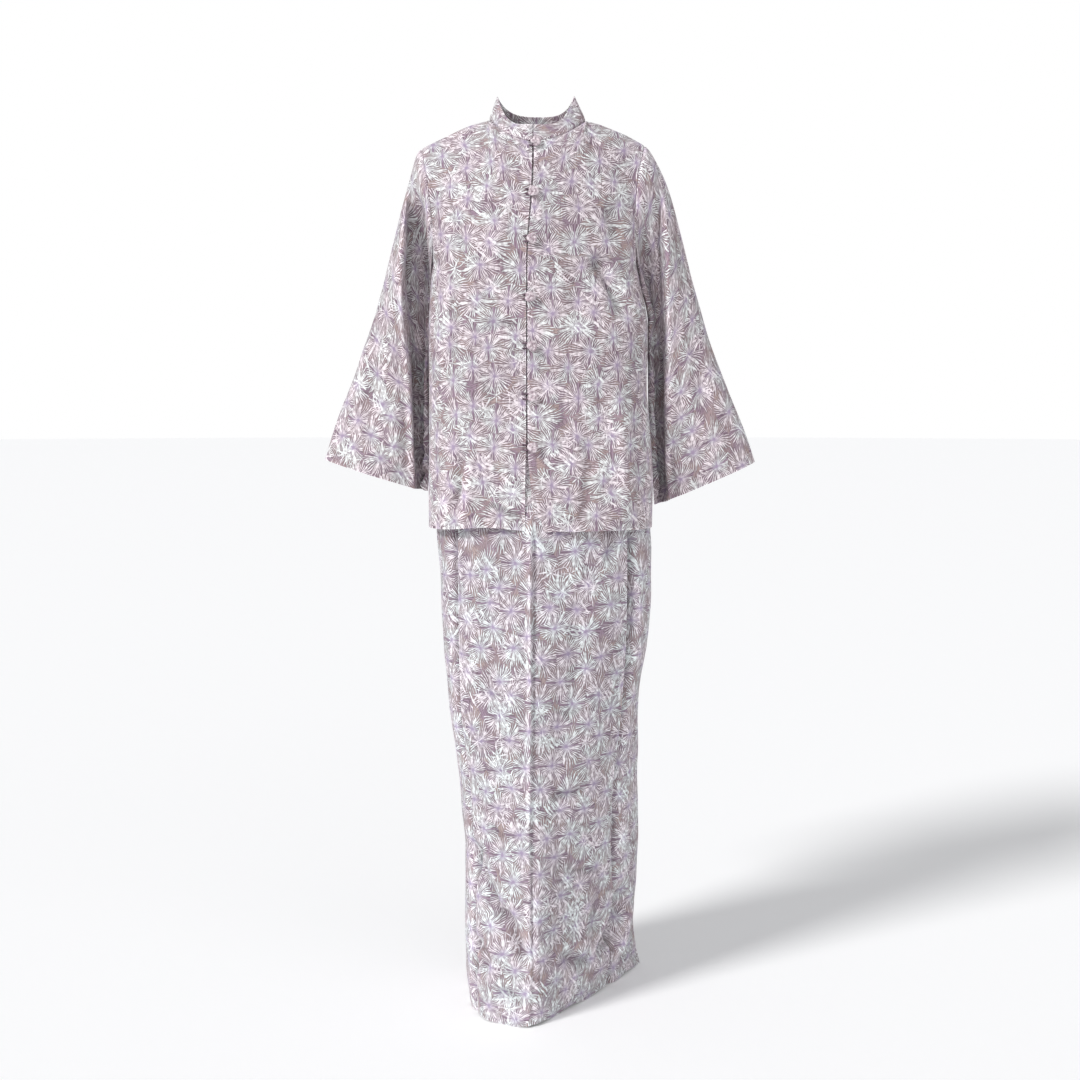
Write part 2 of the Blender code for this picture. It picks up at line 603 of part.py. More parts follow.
def skirt_panel(part, heights, shares):
    """Grid of one skirt panel: front, left, right or back."""
    grid = np.zeros((len(heights), len(shares), 3))
    inset = np.zeros(grid.shape[:2])
    for row, z in enumerate(heights):
        size = skirt_sizes(z)
        corners = skirt_corners(size)
        left_x, right_x = [smooth(z, PANEL_EDGES["z"], PANEL_EDGES[name]) for name in ("left", "right")]
        left, left_length = edge_place(corners[0], left_x)
        right, right_length = edge_place(corners[3], right_x)
        if part == "front":
            left_flap, right_flap = left - LAP / left_length, right - LAP / right_length
            place = np.where(shares < 0, shares * right_flap, shares * left_flap)
            place[0], place[-1] = -right, left
        elif part == "back":
            start = 1 + SIDE_SEAM + WIDE_SEAM / left_length
            place = start + (4 - 2 * start) * shares
        else:
            edge, length = (left, left_length) if part == "left" else (right, right_length)
            place = edge + (1 + SIDE_SEAM - edge) * shares
            place[0] = edge - LAP / length
            beyond = (place - edge) * length
            depth = VALLEY_LEFT if part == "left" else VALLEY_RIGHT
            recovery = 1 - ease((beyond - VALLEY_PLACE) / LAP_RECOVERY)
            valley = depth * np.exp(-((beyond - VALLEY_PLACE) / VALLEY_HALF_WIDTH) ** 2)
            inset[row] = (WALL + SEAM) * recovery + valley
            place = place if part == "left" else -place
        x, y = outline(place, corners)
        grid[row] = np.stack((x, y, np.full_like(x, z)), axis=-1)
    free = ease((1 - np.abs(shares)) / 0.3) if part == "front" else ease(shares * (1 - shares) * 12)
    if part == "right":
        grid, inset, free = grid[:, ::-1], inset[:, ::-1], free[::-1]
    grid = folded(grid, SKIRT_FOLDS, free)
    grid = grid - outward(grid, False) * inset[..., None]
    grid[:, :, 2] = np.array(heights)[:, None]
    return grid


def waistband_ring():
    """The waistband, a plain ring that stands on the skirt's top edge."""
    around = 28
    places = np.linspace(0, 4, around + 1)
    size = skirt_sizes(WAIST_Z)
    x, y = outline(places, skirt_corners(size))
    low = np.stack((x, y, np.full_like(x, WAIST_Z + SEAM)), axis=-1)
    high = low + np.array((0.0, 0.0, BAND_HEIGHT))
    ring = np.array((low, high))
    ring[:, -1] = ring[:, 0]
    return ring


def front_frame(x, z):
    """The place on the front's outer surface at a given x and z near the opening, with the
    outward direction there."""
    levels = np.linspace(0, 1, 161)
    middle = body_points(np.array((0.0,)), levels)[:, 0]
    level = np.interp(z, middle[:, 2], levels)
    near = np.linspace(-0.12, 0.12, 25)
    share = np.interp(x, body_points(near, [level])[0, :, 0], near)
    reach = np.array((-0.005, 0.0, 0.005))
    patch = body_points(share + reach, np.clip(level + reach, 0, 1))
    return Vector(patch[1, 1]), Vector(outward(patch, False)[1, 1])


def button(name, x, z):
    """A knotted ball on a short shank, turned about the cloth's outward direction."""
    place, out = front_frame(x, z)
    ball_middle = SEAM + SHANK_LENGTH + BALL_HALF_DEPTH
    turn = np.linspace(math.pi / 2, -NECKING, 8)
    profile = [(0.0, ball_middle + BALL_HALF_DEPTH)]
    profile += [(BALL_RADIUS * math.cos(a), ball_middle + BALL_HALF_DEPTH * math.sin(a))
                for a in turn[1:]]
    profile += [(SHANK_RADIUS, SEAM + 0.7 * SHANK_LENGTH), (SHANK_RADIUS, SEAM), (0.0, SEAM)]
    mesh = bpy.data.meshes.new(name)
    points = [(radius, 0.0, height) for radius, height in profile]
    mesh.from_pydata(points, [(i, i + 1) for i in range(len(points) - 1)], [])
    piece = bpy.data.objects.new(name, mesh)
    GARMENT.objects.link(piece)
    screw = piece.modifiers.new("Turn", "SCREW")
    screw.axis = "Z"
    screw.steps = 10
    screw.render_steps = 10
    screw.use_merge_vertices = True
    screw.merge_threshold = 0.00005
    screw.use_smooth_shade = True
    piece.rotation_mode = "QUATERNION"
    piece.rotation_quaternion = out.to_track_quat("Z", "Y")
    piece.location = place
    finish(piece, BUTTON_COLOUR)


def loop(name, x, z):
    """A rouleau loop, from the right front's edge round the button's shank and back."""
    middle = smooth(z, OPENING["z"], OPENING["middle"])
    arc = [math.radians(angle) for angle in (90, 45, 0, -45, -90)]
    route = [(middle - LOOP_TAIL, LOOP_BEND * 0.8), (middle - LOOP_TAIL * 0.3, LOOP_BEND * 0.95)]
    route += [(x + LOOP_BEND * math.cos(a), LOOP_BEND * math.sin(a)) for a in arc]
    route += [(across, -up) for across, up in reversed(route[:2])]
    curve = bpy.data.curves.new(name, "CURVE")
    curve.dimensions = "3D"
    curve.bevel_depth = LOOP_RADIUS
    curve.bevel_resolution = 1
    curve.use_fill_caps = True
    spline = curve.splines.new("POLY")
    spline.points.add(len(route) - 1)
    for point, (across, up) in zip(spline.points, route):
        place, out = front_frame(across, z + up)
        point.co = (*(place + out * (LOOP_RADIUS + 2 * SEAM)), 1.0)
    piece = bpy.data.objects.new(name, curve)
    GARMENT.objects.link(piece)
    finish(piece, BUTTON_COLOUR)


def blouse():
    """The blouse's panels, sleeves, collar, underlap, buttons and loops."""
    cloth("blouse_front_right", front_panel(-1))
    cloth("blouse_front_left", front_panel(1))
    cloth("blouse_back", back_panel())
    cloth("placket", placket_strip())
    cloth("collar", collar_ring())
    cloth("sleeve_right", sleeve_tube(0, SLEEVE_RIGHT), closed=True)
    cloth("sleeve_left", sleeve_tube(1, SLEEVE_LEFT), closed=True)
    for number, (x, z) in enumerate(zip(BUTTONS["x"], BUTTONS["z"]), start=1):
        button(f"button_{number}", x, z)
        loop(f"loop_{number}", x, z)


def skirt():
    """The skirt's four panels and its waistband."""
    heights = skirt_rows(21)
    front_shares = np.concatenate(([-1], np.linspace(-1, 1, 13), [1]))
    side_shares = np.array((0, 0, 0.05, 0.10, 0.16, 0.24, 0.35, 0.50, 0.66, 0.83, 0.985, 1))
    back_shares = np.concatenate(([0, 0.012], np.linspace(0, 1, 14)[1:-1], [0.988, 1]))
    cloth("skirt_front_panel", skirt_panel("front", heights, front_shares))
    cloth("skirt_side_left", skirt_panel("left", heights, side_shares))
    cloth("skirt_side_right", skirt_panel("right", heights, side_shares))
    cloth("skirt_back", skirt_panel("back", heights, back_shares))
    cloth("skirt_waistband", waistband_ring(), closed=True)


for old in list(bpy.data.objects):
    bpy.data.objects.remove(old)
GARMENT = bpy.data.collections.new("baju_kurung")
bpy.context.scene.collection.children.link(GARMENT)
blouse()
skirt()
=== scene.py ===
import math

import bpy
import numpy as np
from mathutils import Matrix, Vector


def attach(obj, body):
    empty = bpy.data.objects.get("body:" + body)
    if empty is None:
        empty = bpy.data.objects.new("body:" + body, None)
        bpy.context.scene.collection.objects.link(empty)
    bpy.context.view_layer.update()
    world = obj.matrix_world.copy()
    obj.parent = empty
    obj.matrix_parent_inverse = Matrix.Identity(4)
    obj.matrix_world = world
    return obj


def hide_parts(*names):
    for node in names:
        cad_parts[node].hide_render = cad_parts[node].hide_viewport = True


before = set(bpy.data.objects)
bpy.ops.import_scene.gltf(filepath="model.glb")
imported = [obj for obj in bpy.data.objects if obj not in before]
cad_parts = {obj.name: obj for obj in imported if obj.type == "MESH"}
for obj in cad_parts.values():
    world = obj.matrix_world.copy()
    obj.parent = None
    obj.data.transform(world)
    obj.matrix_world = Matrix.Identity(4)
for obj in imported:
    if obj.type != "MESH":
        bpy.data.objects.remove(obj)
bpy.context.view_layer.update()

# Studio. A pale floor just under the skirt's hem, a soft lamp high at the front left, a weak wide
# one at the front right, and an even white room that fills the shadows.
for item in list(bpy.context.selected_objects):
    item.select_set(False)


def material_kit(name):
    """A new material, as two functions: one adds a node and gives back one of its outputs, or
    all of them with out=None; the other fills in the sockets of the material's shader."""
    material = bpy.data.materials.new(name)
    material.use_nodes = True
    tree = material.node_tree

    def fill(node, sockets):
        for key, value in sockets.items():
            if isinstance(value, bpy.types.NodeSocket):
                tree.links.new(value, node.inputs[key])
            else:
                node.inputs[key].default_value = value

    def put(kind, out=0, inputs=None, **settings):
        node = tree.nodes.new("ShaderNode" + kind)
        for key, value in settings.items():
            setattr(node, key, value)
        fill(node, inputs or {})
        return node.outputs if out is None else node.outputs[out]

    def finish(sockets):
        fill(tree.nodes["Principled BSDF"], sockets)
        return material

    return put, finish


floor_level = -1.4406
bpy.ops.mesh.primitive_circle_add(vertices=96, radius=40, fill_type="NGON", location=(0, 0, floor_level))
floor = bpy.context.object
floor.name = "studio_floor"
paint = {"Base Color": (0.95, 0.95, 0.95, 1), "Roughness": 0.9, "Specular IOR Level": 0.1,
         "Emission Color": (1, 1, 1, 1), "Emission Strength": 0.11}
floor.data.materials.append(material_kit("floor_paint")[1](paint))


def lamp(name, place, strength, spread, aim):
    """A lamp whose light comes from one way all over; spread is how wide it looks, in degrees."""
    bpy.ops.object.light_add(type="SUN", location=place)
    light = bpy.context.object
    light.name = name
    light.data.energy = strength
    light.data.angle = math.radians(spread)
    light.rotation_euler = Vector(aim).to_track_quat("-Z", "Y").to_euler()


lamp("softbox", (-2, -3, 3), 2.35, 13, (0.64, 0.54, -0.60))
lamp("side_panel", (2, -3, 1), 0.72, 70, (-0.50, 0.85, -0.12))

room = bpy.data.worlds.new("white_room")
bpy.context.scene.world = room
room.use_nodes = True
room_nodes, room_links = room.node_tree.nodes, room.node_tree.links
fill_light = room_nodes["Background"]
fill_light.inputs["Color"].default_value = (0.96, 0.97, 1.0, 1)
fill_light.inputs["Strength"].default_value = 0.43
seen_wall = room_nodes.new("ShaderNodeBackground")
seen_wall.inputs["Color"].default_value = (1, 1, 1, 1)
seen_wall.inputs["Strength"].default_value = 1.0
ray = room_nodes.new("ShaderNodeLightPath")
either = room_nodes.new("ShaderNodeMixShader")
room_links.new(ray.outputs["Is Camera Ray"], either.inputs[0])
room_links.new(fill_light.outputs[0], either.inputs[1])
room_links.new(seen_wall.outputs[0], either.inputs[2])
room_links.new(either.outputs[0], room_nodes["World Output"].inputs["Surface"])
bpy.context.scene.view_settings.view_transform = "Standard"

bpy.ops.object.camera_add(location=(0, -2.5, -0.445), rotation=(math.radians(84.8), 0, 0))
camera = bpy.context.object
camera.data.sensor_width = 36
camera.data.lens = 50.87
bpy.context.scene.camera = camera


# Blouse back. One panel of the printed cloth, from side seam to side seam, whose top edge makes
# the back of the neckline and the two shoulder seams. It hangs from the shoulders with loose
# upright folds below the shoulder blades, and its hem is turned up 20 mm.
def printed_cloth(name, depth, strength=(1.0, 1.0, 1.0)):
    """A light, matt cotton with a hand-drawn wax-resist print: rows of lilac hearts on a mauve
    ground, pale tapered strokes that fan out from each heart to the next row, loose white stars
    and long slanting brush strokes. It is laid out on the UV map 'threads', in metres. depth
    darkens the dyes, and strength is how light each of red, green and blue comes out."""
    put, finish = material_kit(name)

    def calc(operation, *values):
        return put("Math", operation=operation, inputs=dict(enumerate(values)))

    def times(first, *others):
        for other in others:
            first = calc("MULTIPLY", first, other)
        return first

    def most(first, *others):
        for other in others:
            first = calc("MAXIMUM", first, other)
        return first

    def minus(first, second):
        return calc("SUBTRACT", first, second)

    def rest(share):
        return minus(1.0, share)

    def shift(operation, *values):
        return put("VectorMath", operation=operation, inputs=dict(enumerate(values)))

    def rise(low, high, value):
        return put("MapRange", interpolation_type="SMOOTHSTEP",
                   inputs={"Value": value, "From Min": low, "From Max": high})

    def tone(value, low, high, dark, light):
        return put("MapRange", inputs={"Value": value, "From Min": low, "From Max": high,
                                       "To Min": dark, "To Max": light})

    def noise(place, scale, out="Color", detail=1.0):
        return put("TexNoise", out=out, noise_dimensions="2D",
                   inputs={"Vector": place, "Scale": scale, "Detail": detail})

    def cells(place, scale, randomness):
        return put("TexVoronoi", out=None, voronoi_dimensions="2D",
                   inputs={"Vector": place, "Scale": scale, "Randomness": randomness})

    def dye(amount, under, over):
        return put("Mix", out=2, data_type="RGBA", inputs={0: amount, 6: under, 7: over})

    def parts(vector):
        return put("SeparateXYZ", out=None, inputs={0: vector})

    def reach_and_angle(x, y):
        return (calc("SQRT", calc("ADD", times(x, x), times(y, y))), calc("ARCTAN2", y, x))

    def wander(place, scale, reach):
        away = shift("SUBTRACT", noise(place, scale), (0.5, 0.5, 0.5))
        return shift("ADD", place, shift("MULTIPLY", away, (reach, reach, 0.0)))

    threads = put("UVMap", uv_map="threads")

    def patches(scale, detail=1.0):
        return noise(threads, scale, "Fac", detail)

    drawn = wander(wander(threads, 30.0, 0.009), 150.0, 0.0012)

    # Hearts stand in staggered rows: a square lattice turned by 45 degrees.
    hearts_apart, rows_apart = 0.052, 0.036
    lattice = (0.7071 / (hearts_apart / 2), 0.7071 / rows_apart, 1.0)
    turned = (0.0, 0.0, math.radians(45))
    spread = put("Mapping", vector_type="POINT",
                 inputs={"Vector": shift("MULTIPLY", drawn, lattice), "Rotation": turned})
    hearts = cells(spread, 1.0, 0.55)
    middle = put("Mapping", vector_type="TEXTURE",
                 inputs={"Vector": hearts["Position"], "Rotation": turned})
    away = parts(shift("SUBTRACT", drawn, shift("DIVIDE", middle, lattice)))
    reach, angle = reach_and_angle(away[0], away[1])

    def strokes(reach, angle, own, count, start, end, half_width, seed):
        """How far inside a stroke a point lies, in metres, for a ring of tapered strokes."""
        tip = 0.0005
        turn = calc("MULTIPLY", angle, count / (2 * math.pi))
        number = calc("FLOOR", turn)
        across = calc("ABSOLUTE", minus(minus(turn, number), 0.5))
        across = times(across, 2 * math.pi / count, reach)
        chance = parts(put("TexWhiteNoise", out="Color", noise_dimensions="4D",
                           inputs={"Vector": own, "W": calc("ADD", number, seed)}))
        first = calc("MULTIPLY_ADD", chance[0], 0.55 * start, 0.75 * start)
        last = calc("MULTIPLY_ADD", chance[1], 0.50 * end, 0.72 * end)
        along = calc("DIVIDE", minus(reach, first), minus(last, first))
        along = put("Clamp", inputs={"Value": along})
        belly = calc("SQRT", times(along, rest(along)))
        width = calc("MULTIPLY_ADD", chance[2], 0.9 * half_width, 0.75 * half_width + tip)
        return minus(minus(times(belly, 2.0, width), across), tip)

    own = hearts["Color"]
    fans = most(strokes(reach, angle, own, 25.0, 0.0014, 0.022, 0.00052, 3.0),
                strokes(reach, angle, own, 43.0, 0.0095, 0.038, 0.00062, 57.0),
                strokes(reach, angle, own, 9.0, 0.0070, 0.034, 0.00085, 91.0))
    sideways = calc("ABSOLUTE", calc("SINE", angle))
    fans = minus(fans, times(rest(rise(0.02, 0.14, sideways)), 0.0012))

    def scattered_stars(per_metre, missing, legs, length, thick, seed):
        """Loose stars with a few wriggling legs, in a random share of the cells of a net."""
        wriggly = wander(wander(threads, 70.0, 0.004), 26.0, 0.006)
        wriggly = shift("ADD", wriggly, (seed, seed, 0.0))
        net = cells(wriggly, per_metre, 0.9)
        apart = parts(shift("SUBTRACT", wriggly, net["Position"]))
        reach, angle = reach_and_angle(apart[0], apart[1])
        rays = strokes(reach, angle, net["Color"], legs, 0.0010, length, thick, 11.0)
        whole = most(rays, minus(2.2 * thick, reach))
        left_out = calc("GREATER_THAN", missing, parts(net["Color"])[0])
        return minus(whole, times(left_out, 0.01))

    # Long slanting brush strokes, in loose sheaves
    slanted = put("Mapping", vector_type="POINT",
                  inputs={"Vector": drawn, "Rotation": (0.0, 0.0, math.radians(52))})
    brush_length, brush_apart = 0.062, 0.0070
    slanted = shift("MULTIPLY", slanted, (1 / brush_length, 1 / brush_apart, 1.0))
    brush = cells(slanted, 1.0, 0.8)["Distance"]
    bare = times(rest(rise(0.57, 0.62, patches(15.0))), 0.01)
    streaks = minus(times(minus(0.27, brush), 0.0055), bare)

    wax = most(fans, scattered_stars(13.0, 0.50, 9.0, 0.021, 0.0010, 0.0),
               scattered_stars(19.0, 0.62, 7.0, 0.015, 0.0008, 3.7), streaks)
    heavy = rise(0.36, 0.60, patches(170.0))
    white = times(rise(-0.00025, 0.00040, wax), calc("MULTIPLY_ADD", heavy, 0.42, 0.58))

    mauve, taupe = (0.350, 0.255, 0.320, 1), (0.385, 0.290, 0.300, 1)
    blush, lilac = (0.460, 0.350, 0.335, 1), (0.400, 0.335, 0.485, 1)
    dark_rim, steeped = (0.115, 0.072, 0.090, 1), (0.16, 0.11, 0.14, 1)
    pink_chalk, green_chalk = (0.93, 0.84, 0.88, 1), (0.89, 0.91, 0.91, 1)
    from_band = rise(0.003, 0.013, calc("ABSOLUTE", away[1]))
    ground = dye(times(from_band, rise(0.30, 0.60, patches(22.0))), mauve, taupe)
    ground = dye(times(from_band, rise(0.50, 0.68, patches(43.0))), ground, blush)
    ground = dye(times(rest(rise(0.001, 0.020, reach)), 0.60), ground, lilac)
    rim = times(rise(-0.0012, -0.0003, wax), rise(0.001, 0.013, reach), 0.72)
    ground = dye(rim, ground, dark_rim)
    chalk = dye(rise(0.40, 0.62, patches(24.0)), pink_chalk, green_chalk)
    cloth = dye(depth, dye(white, ground, chalk), steeped)

    # The dyes have faded unevenly, and shade is painted in from the attribute 'relief': the cloth is
    # painted darker in the troughs of its creases and lighter on the tops of its folds
    fading_and_painted_shade = tone(patches(6.0, 3.0), 0.0, 1.0, 0.86, 1.10)
    crease_painted_shade = tone(put("Attribute", out="Fac", attribute_name="relief"), -0.005, 0.005, 0.66, 1.16)
    fading_and_painted_shade = times(fading_and_painted_shade, crease_painted_shade, 1.05)
    grey = put("CombineColor", inputs={number: times(fading_and_painted_shade, part) for number, part in enumerate(strength)})
    cloth = put("Mix", out=2, data_type="RGBA", blend_type="MULTIPLY", inputs={0: 1.0, 6: cloth, 7: grey})

    # Plain weave, three threads to two millimetres, with slubs, and the soft creasing of cotton
    thread_apart = 0.00065
    thread = parts(shift("MULTIPLY", threads, (2 * math.pi / thread_apart,) * 2 + (0.0,)))
    weave = times(calc("SINE", thread[0]), calc("SINE", thread[1]))
    slub = noise(shift("MULTIPLY", threads, (260.0, 1500.0, 1.0)), 1.0, "Fac")
    surface = calc("ADD", times(weave, 0.000035), times(slub, 0.00010))
    crumple = times(patches(42.0, 3.0), 0.0030)
    crinkle = noise(shift("MULTIPLY", threads, (14.0, 70.0, 1.0)), 1.0, "Fac")
    crinkle = times(rise(0.0, 0.10, calc("ABSOLUTE", minus(crinkle, 0.5))), 0.0006)
    height = calc("ADD", surface, calc("ADD", crumple, crinkle))
    bumps = put("Bump", inputs={"Strength": 0.9, "Distance": 1.0, "Height": height})
    finish({"Base Color": cloth, "Normal": bumps, "Roughness": 0.86, "Specular IOR Level": 0.22,
            "Sheen Weight": 0.12, "Sheen Roughness": 0.5})


printed_cloth("batik", 0.0)
printed_cloth("batik_reverse", 0.38)


def table(text):
    """Sizes as one array for each named column."""
    names, *rows = [line.split() for line in text.strip().splitlines()]
    return dict(zip(names, np.array(rows, dtype=float).T))


def crease_list(text):
    """Creases, one a line: the x and z of each point of its path in mm, and after the bar its half
    width and height in mm (negative for a trough) and the share over which each end fades."""
    rows = []
    for line in text.strip().splitlines():
        path, size = [[float(number) for number in half.split()] for half in line.split("|")]
        rows.append((np.array(path).reshape(-1, 2) / 1000, size[0] / 1000, size[1] / 1000, *size[2:]))
    return rows


body = table("""
    z      right  left  front  back  square
    -0.648 -0.181 0.183 -0.128 0.118 2.8
    -0.580 -0.181 0.184 -0.127 0.117 2.8
    -0.500 -0.180 0.180 -0.124 0.111 2.7
    -0.420 -0.180 0.173 -0.120 0.103 2.6
    -0.335 -0.180 0.175 -0.122 0.100 2.5
    -0.250 -0.176 0.160 -0.118 0.102 2.4
    -0.225 -0.172 0.155 -0.118 0.102 2.4
""")
opening = table("""
    z      middle  gap
    -0.648 -0.0170 0.0130
    -0.600 -0.0185 0.0090
    -0.530 -0.0205 0.0020
    -0.420 -0.0208 0.0014
    -0.250 -0.0205 0.0014
    -0.170 -0.0185 0.0014
    -0.100 -0.0145 0.0014
    -0.040 -0.0110 0.0014
""")
shoulder = table("""
    neck_x neck_z tip_x  tip_z  sag
    -0.083 0.002  -0.190 -0.042 1.3
    0.075  0.001  0.168  -0.037 1.4
""")
armhole_sizes = table("""
    under_x half_depth bow
    -0.172  0.056      0.0085
    0.155   0.056      0.0110
""")
neck_front, neck_back = (-0.075, -0.040), (0.060, -0.015)
underarm_z, underarm_level = -0.225, 0.6
neck_share = 0.36
chest_tilt = math.radians(60)
quarter_length = 0.25
cloth_thickness = 0.0007


def smooth(place, places, values):
    """Values read off a smooth curve through a table, with no overshoot between rows."""
    place = np.clip(place, places[0], places[-1])
    step = np.diff(places)
    slope = np.diff(values) / step
    product = slope[:-1] * slope[1:]
    total = slope[:-1] + slope[1:]
    turn = np.where(product > 0, 2 * product / np.where(product > 0, total, 1), 0)
    slopes = np.concatenate(([slope[0]], turn, [slope[-1]]))
    row = np.clip(np.searchsorted(places, place, side="right") - 1, 0, len(step) - 1)
    t = (place - places[row]) / step[row]
    start = values[row] * (1 + 2 * t) + slopes[row] * step[row] * t
    end = values[row + 1] * (3 - 2 * t) - slopes[row + 1] * step[row] * (1 - t)
    return start * (1 - t) ** 2 + end * t ** 2


def ease(value):
    """0 to 1 with level ends."""
    value = np.clip(value, 0, 1)
    return value * value * (3 - 2 * value)


def quarter(start, end, power, share):
    """Points at shares of the length of a rounded corner, from front or back to the side."""
    turn = np.linspace(0, math.pi / 2, 481)
    x = start[0] + (end[0] - start[0]) * np.sin(turn) ** (2 / power)
    y = end[1] + (start[1] - end[1]) * np.cos(turn) ** (2 / power)
    length = np.concatenate(([0], np.cumsum(np.hypot(np.diff(x), np.diff(y)))))
    return np.interp(share * length[-1], length, x), np.interp(share * length[-1], length, y)


def outline(place, corners):
    """Points of a level all round: place 0 is the front, 1 the wearer's left, 2 the back."""
    place = np.mod(place, 4)
    x, y = np.zeros_like(place), np.zeros_like(place)
    for number, (start, end, power) in enumerate(corners):
        inside = (place >= number) & (place <= number + 1)
        share = place[inside] - number
        share = share if number % 2 == 0 else 1 - share
        x[inside], y[inside] = quarter(start, end, power, share)
    return x, y


def outward(points, closed=False):
    """Unit normals of a grid of points whose columns run anticlockwise from above."""
    up = np.gradient(points, axis=0)
    if closed:
        ring = points[:, :-1]
        across = np.roll(ring, -1, axis=1) - np.roll(ring, 1, axis=1)
        across = np.concatenate((across, across[:, :1]), axis=1)
    else:
        across = np.gradient(points, axis=1)
    normals = np.cross(across, up)
    return normals / np.maximum(np.linalg.norm(normals, axis=2, keepdims=True), 1e-12)


def armhole(side, turn):
    """Points of the armhole seam, from the shoulder tip (0) round the front to the underarm."""
    tip_x, tip_z = shoulder["tip_x"][side], shoulder["tip_z"][side]
    under_x = armhole_sizes["under_x"][side]
    bow = armhole_sizes["bow"][side] * (1 if side == 0 else -1)
    x = (tip_x + under_x) / 2 + (tip_x - under_x) / 2 * np.cos(turn) + bow * np.sin(turn) ** 2
    y = -armhole_sizes["half_depth"][side] * np.sin(turn)
    z = (tip_z + underarm_z) / 2 + (tip_z - underarm_z) / 2 * np.cos(turn)
    return np.stack((x, y, z), axis=-1)


def body_level(place, z):
    """Points of the blouse body at one level below the underarm."""
    right, left, front, back, square = [
        smooth(z, body["z"], body[name]) for name in ("right", "left", "front", "back", "square")]
    front_point, back_point = (smooth(z, opening["z"], opening["middle"]), front), (0.0, back)
    return outline(place, (
        (front_point, (left, 0.0), square), (back_point, (left, 0.0), square),
        (back_point, (right, 0.0), square), (front_point, (right, 0.0), square)))


def yoke_edge(side, front, share):
    """Points of a panel's top edge: the neckline, then the shoulder seam."""
    neck_y, neck_z = neck_front if front else neck_back
    neck_x = opening["middle"][-1] if front else 0.0
    high_x, high_z = shoulder["neck_x"][side], shoulder["neck_z"][side]
    on_neck = np.clip(share / neck_share, 0, 1)
    x, y = quarter((neck_x, neck_y), (high_x, 0.0), 2.0, on_neck)
    z = neck_z + (high_z - neck_z) * ((x - neck_x) / (high_x - neck_x)) ** 2
    on_seam = np.clip((share - neck_share) / (1 - neck_share), 0, 1)
    x = x + (shoulder["tip_x"][side] - high_x) * on_seam
    z = z + (shoulder["tip_z"][side] - high_z) * on_seam ** shoulder["sag"][side]
    return x, y, z


def yoke_points(side, is_front, share, rise, x0, y0):
    """A level above the underarm: a rounded slope up to the neckline and shoulder seam."""
    widest, seam_onset = 0.22, 0.2
    climb = math.sin(math.pi / 2 * rise) ** 2
    around = np.minimum(np.minimum(share, 1 - share), widest) * (1 - climb) ** 0.7
    nearby = [share + around * step for step in np.linspace(-1, 1, 9)]
    x1, y1, z1 = np.mean([yoke_edge(side, is_front, one) for one in nearby], axis=0)
    full = np.mean([chest_tilt + (math.pi / 2 - chest_tilt) * ease(one / neck_share)
                    for one in nearby], axis=0)
    turn = full * math.asin(climb) / (math.pi / 2)
    x = x0 + (x1 - x0) * ease(climb)
    y = y1 + (y0 - y1) * (np.cos(turn) - np.cos(full)) / (1 - np.cos(full))
    z = underarm_z + (z1 - underarm_z) * np.sin(turn) / np.sin(full)
    seam = armhole(side, math.pi * (1 - rise) * (1 if is_front else -1))
    low_x = body["left" if side else "right"][-1]
    edge = np.array((low_x + (shoulder["tip_x"][side] - low_x) * ease(climb), 0.0,
                     underarm_z + (shoulder["tip_z"][side] - underarm_z) * climb))
    pull = share ** 4 * (share ** 8 + (1 - share ** 8) * ease(rise / seam_onset))
    return np.stack((x, y, z), axis=-1) + pull[:, None] * (seam - edge)


def body_points(place, levels, seams_in_front=True):
    """Points on the blouse body. levels run from 0 at the hem to 1 at the shoulder seams.
    place is one row for all levels, or a row for each."""
    place = np.broadcast_to(np.asarray(place, dtype=float), (len(levels), np.shape(place)[-1]))
    grid = np.zeros(place.shape + (3,))
    hem_z = body["z"][0]
    lift_height, lift_x, lift_width = 0.006, -0.085, 0.05
    for row, level in enumerate(levels):
        around = np.mod(place[row], 4)
        front = (around < 1) | (around > 3)
        if seams_in_front:
            front = front | (around == 1) | (around == 3)
        side = np.where(around <= 2, 1, 0)
        part = np.mod(around, 1)
        share = np.where(np.mod(np.floor(around), 2) == 0, part, 1 - part)
        share = np.where(part == 0, np.mod(around, 2), share)
        below = min(level / underarm_level, 1)
        z = hem_z + (underarm_z - hem_z) * below
        x, y = body_level(around, z)
        lift = lift_height * np.exp(-((x - lift_x) / lift_width) ** 2) * front * (1 - below) ** 3
        grid[row] = np.stack((x, y, z + lift), axis=-1)
        rise = (level - underarm_level) / (1 - underarm_level)
        for number in (0, 1):
            for is_front in (True, False):
                here = (side == number) & (front == is_front)
                if rise > 0 and here.any():
                    grid[row, here] = yoke_points(number, is_front, share[here], rise, x[here], y[here])
    return grid


def creased(points, face, creases, free=1.0, closed=False, pressed=False):
    """The cloth with creases pressed or raised along its normals. A crease is a path of (x, z)
    points, its half width, its height (negative for a trough) and how it fades at each end.
    A pressed crease is a straight-sided ridge with a sharp top."""
    normals = outward(points, closed)
    facing = ease(2.4 * face * normals[..., 1] + 0.1)
    x, z = points[..., 0], points[..., 2]
    height = np.zeros(x.shape)
    for path, half_width, fold, start_fade, end_fade in creases:
        runs = np.diff(path, axis=0)
        lengths = np.hypot(runs[:, 0], runs[:, 1])
        passed = np.cumsum(lengths) - lengths
        nearest, along = np.full(x.shape, 9.0), np.zeros(x.shape)
        for (x0, z0), (run_x, run_z), length, before in zip(path, runs, lengths, passed):
            t = np.clip(((x - x0) * run_x + (z - z0) * run_z) / length ** 2, 0, 1)
            apart = np.hypot(x - x0 - t * run_x, z - z0 - t * run_z)
            closer = apart < nearest
            nearest = np.where(closer, apart, nearest)
            along = np.where(closer, (before + t * length) / lengths.sum(), along)
        taper = ease(along / start_fade) * ease((1 - along) / end_fade)
        share = nearest / half_width
        height += fold * taper * (np.maximum(1 - share, 0) if pressed else np.exp(-share ** 2))
    return points + normals * (height * facing * free)[..., None]


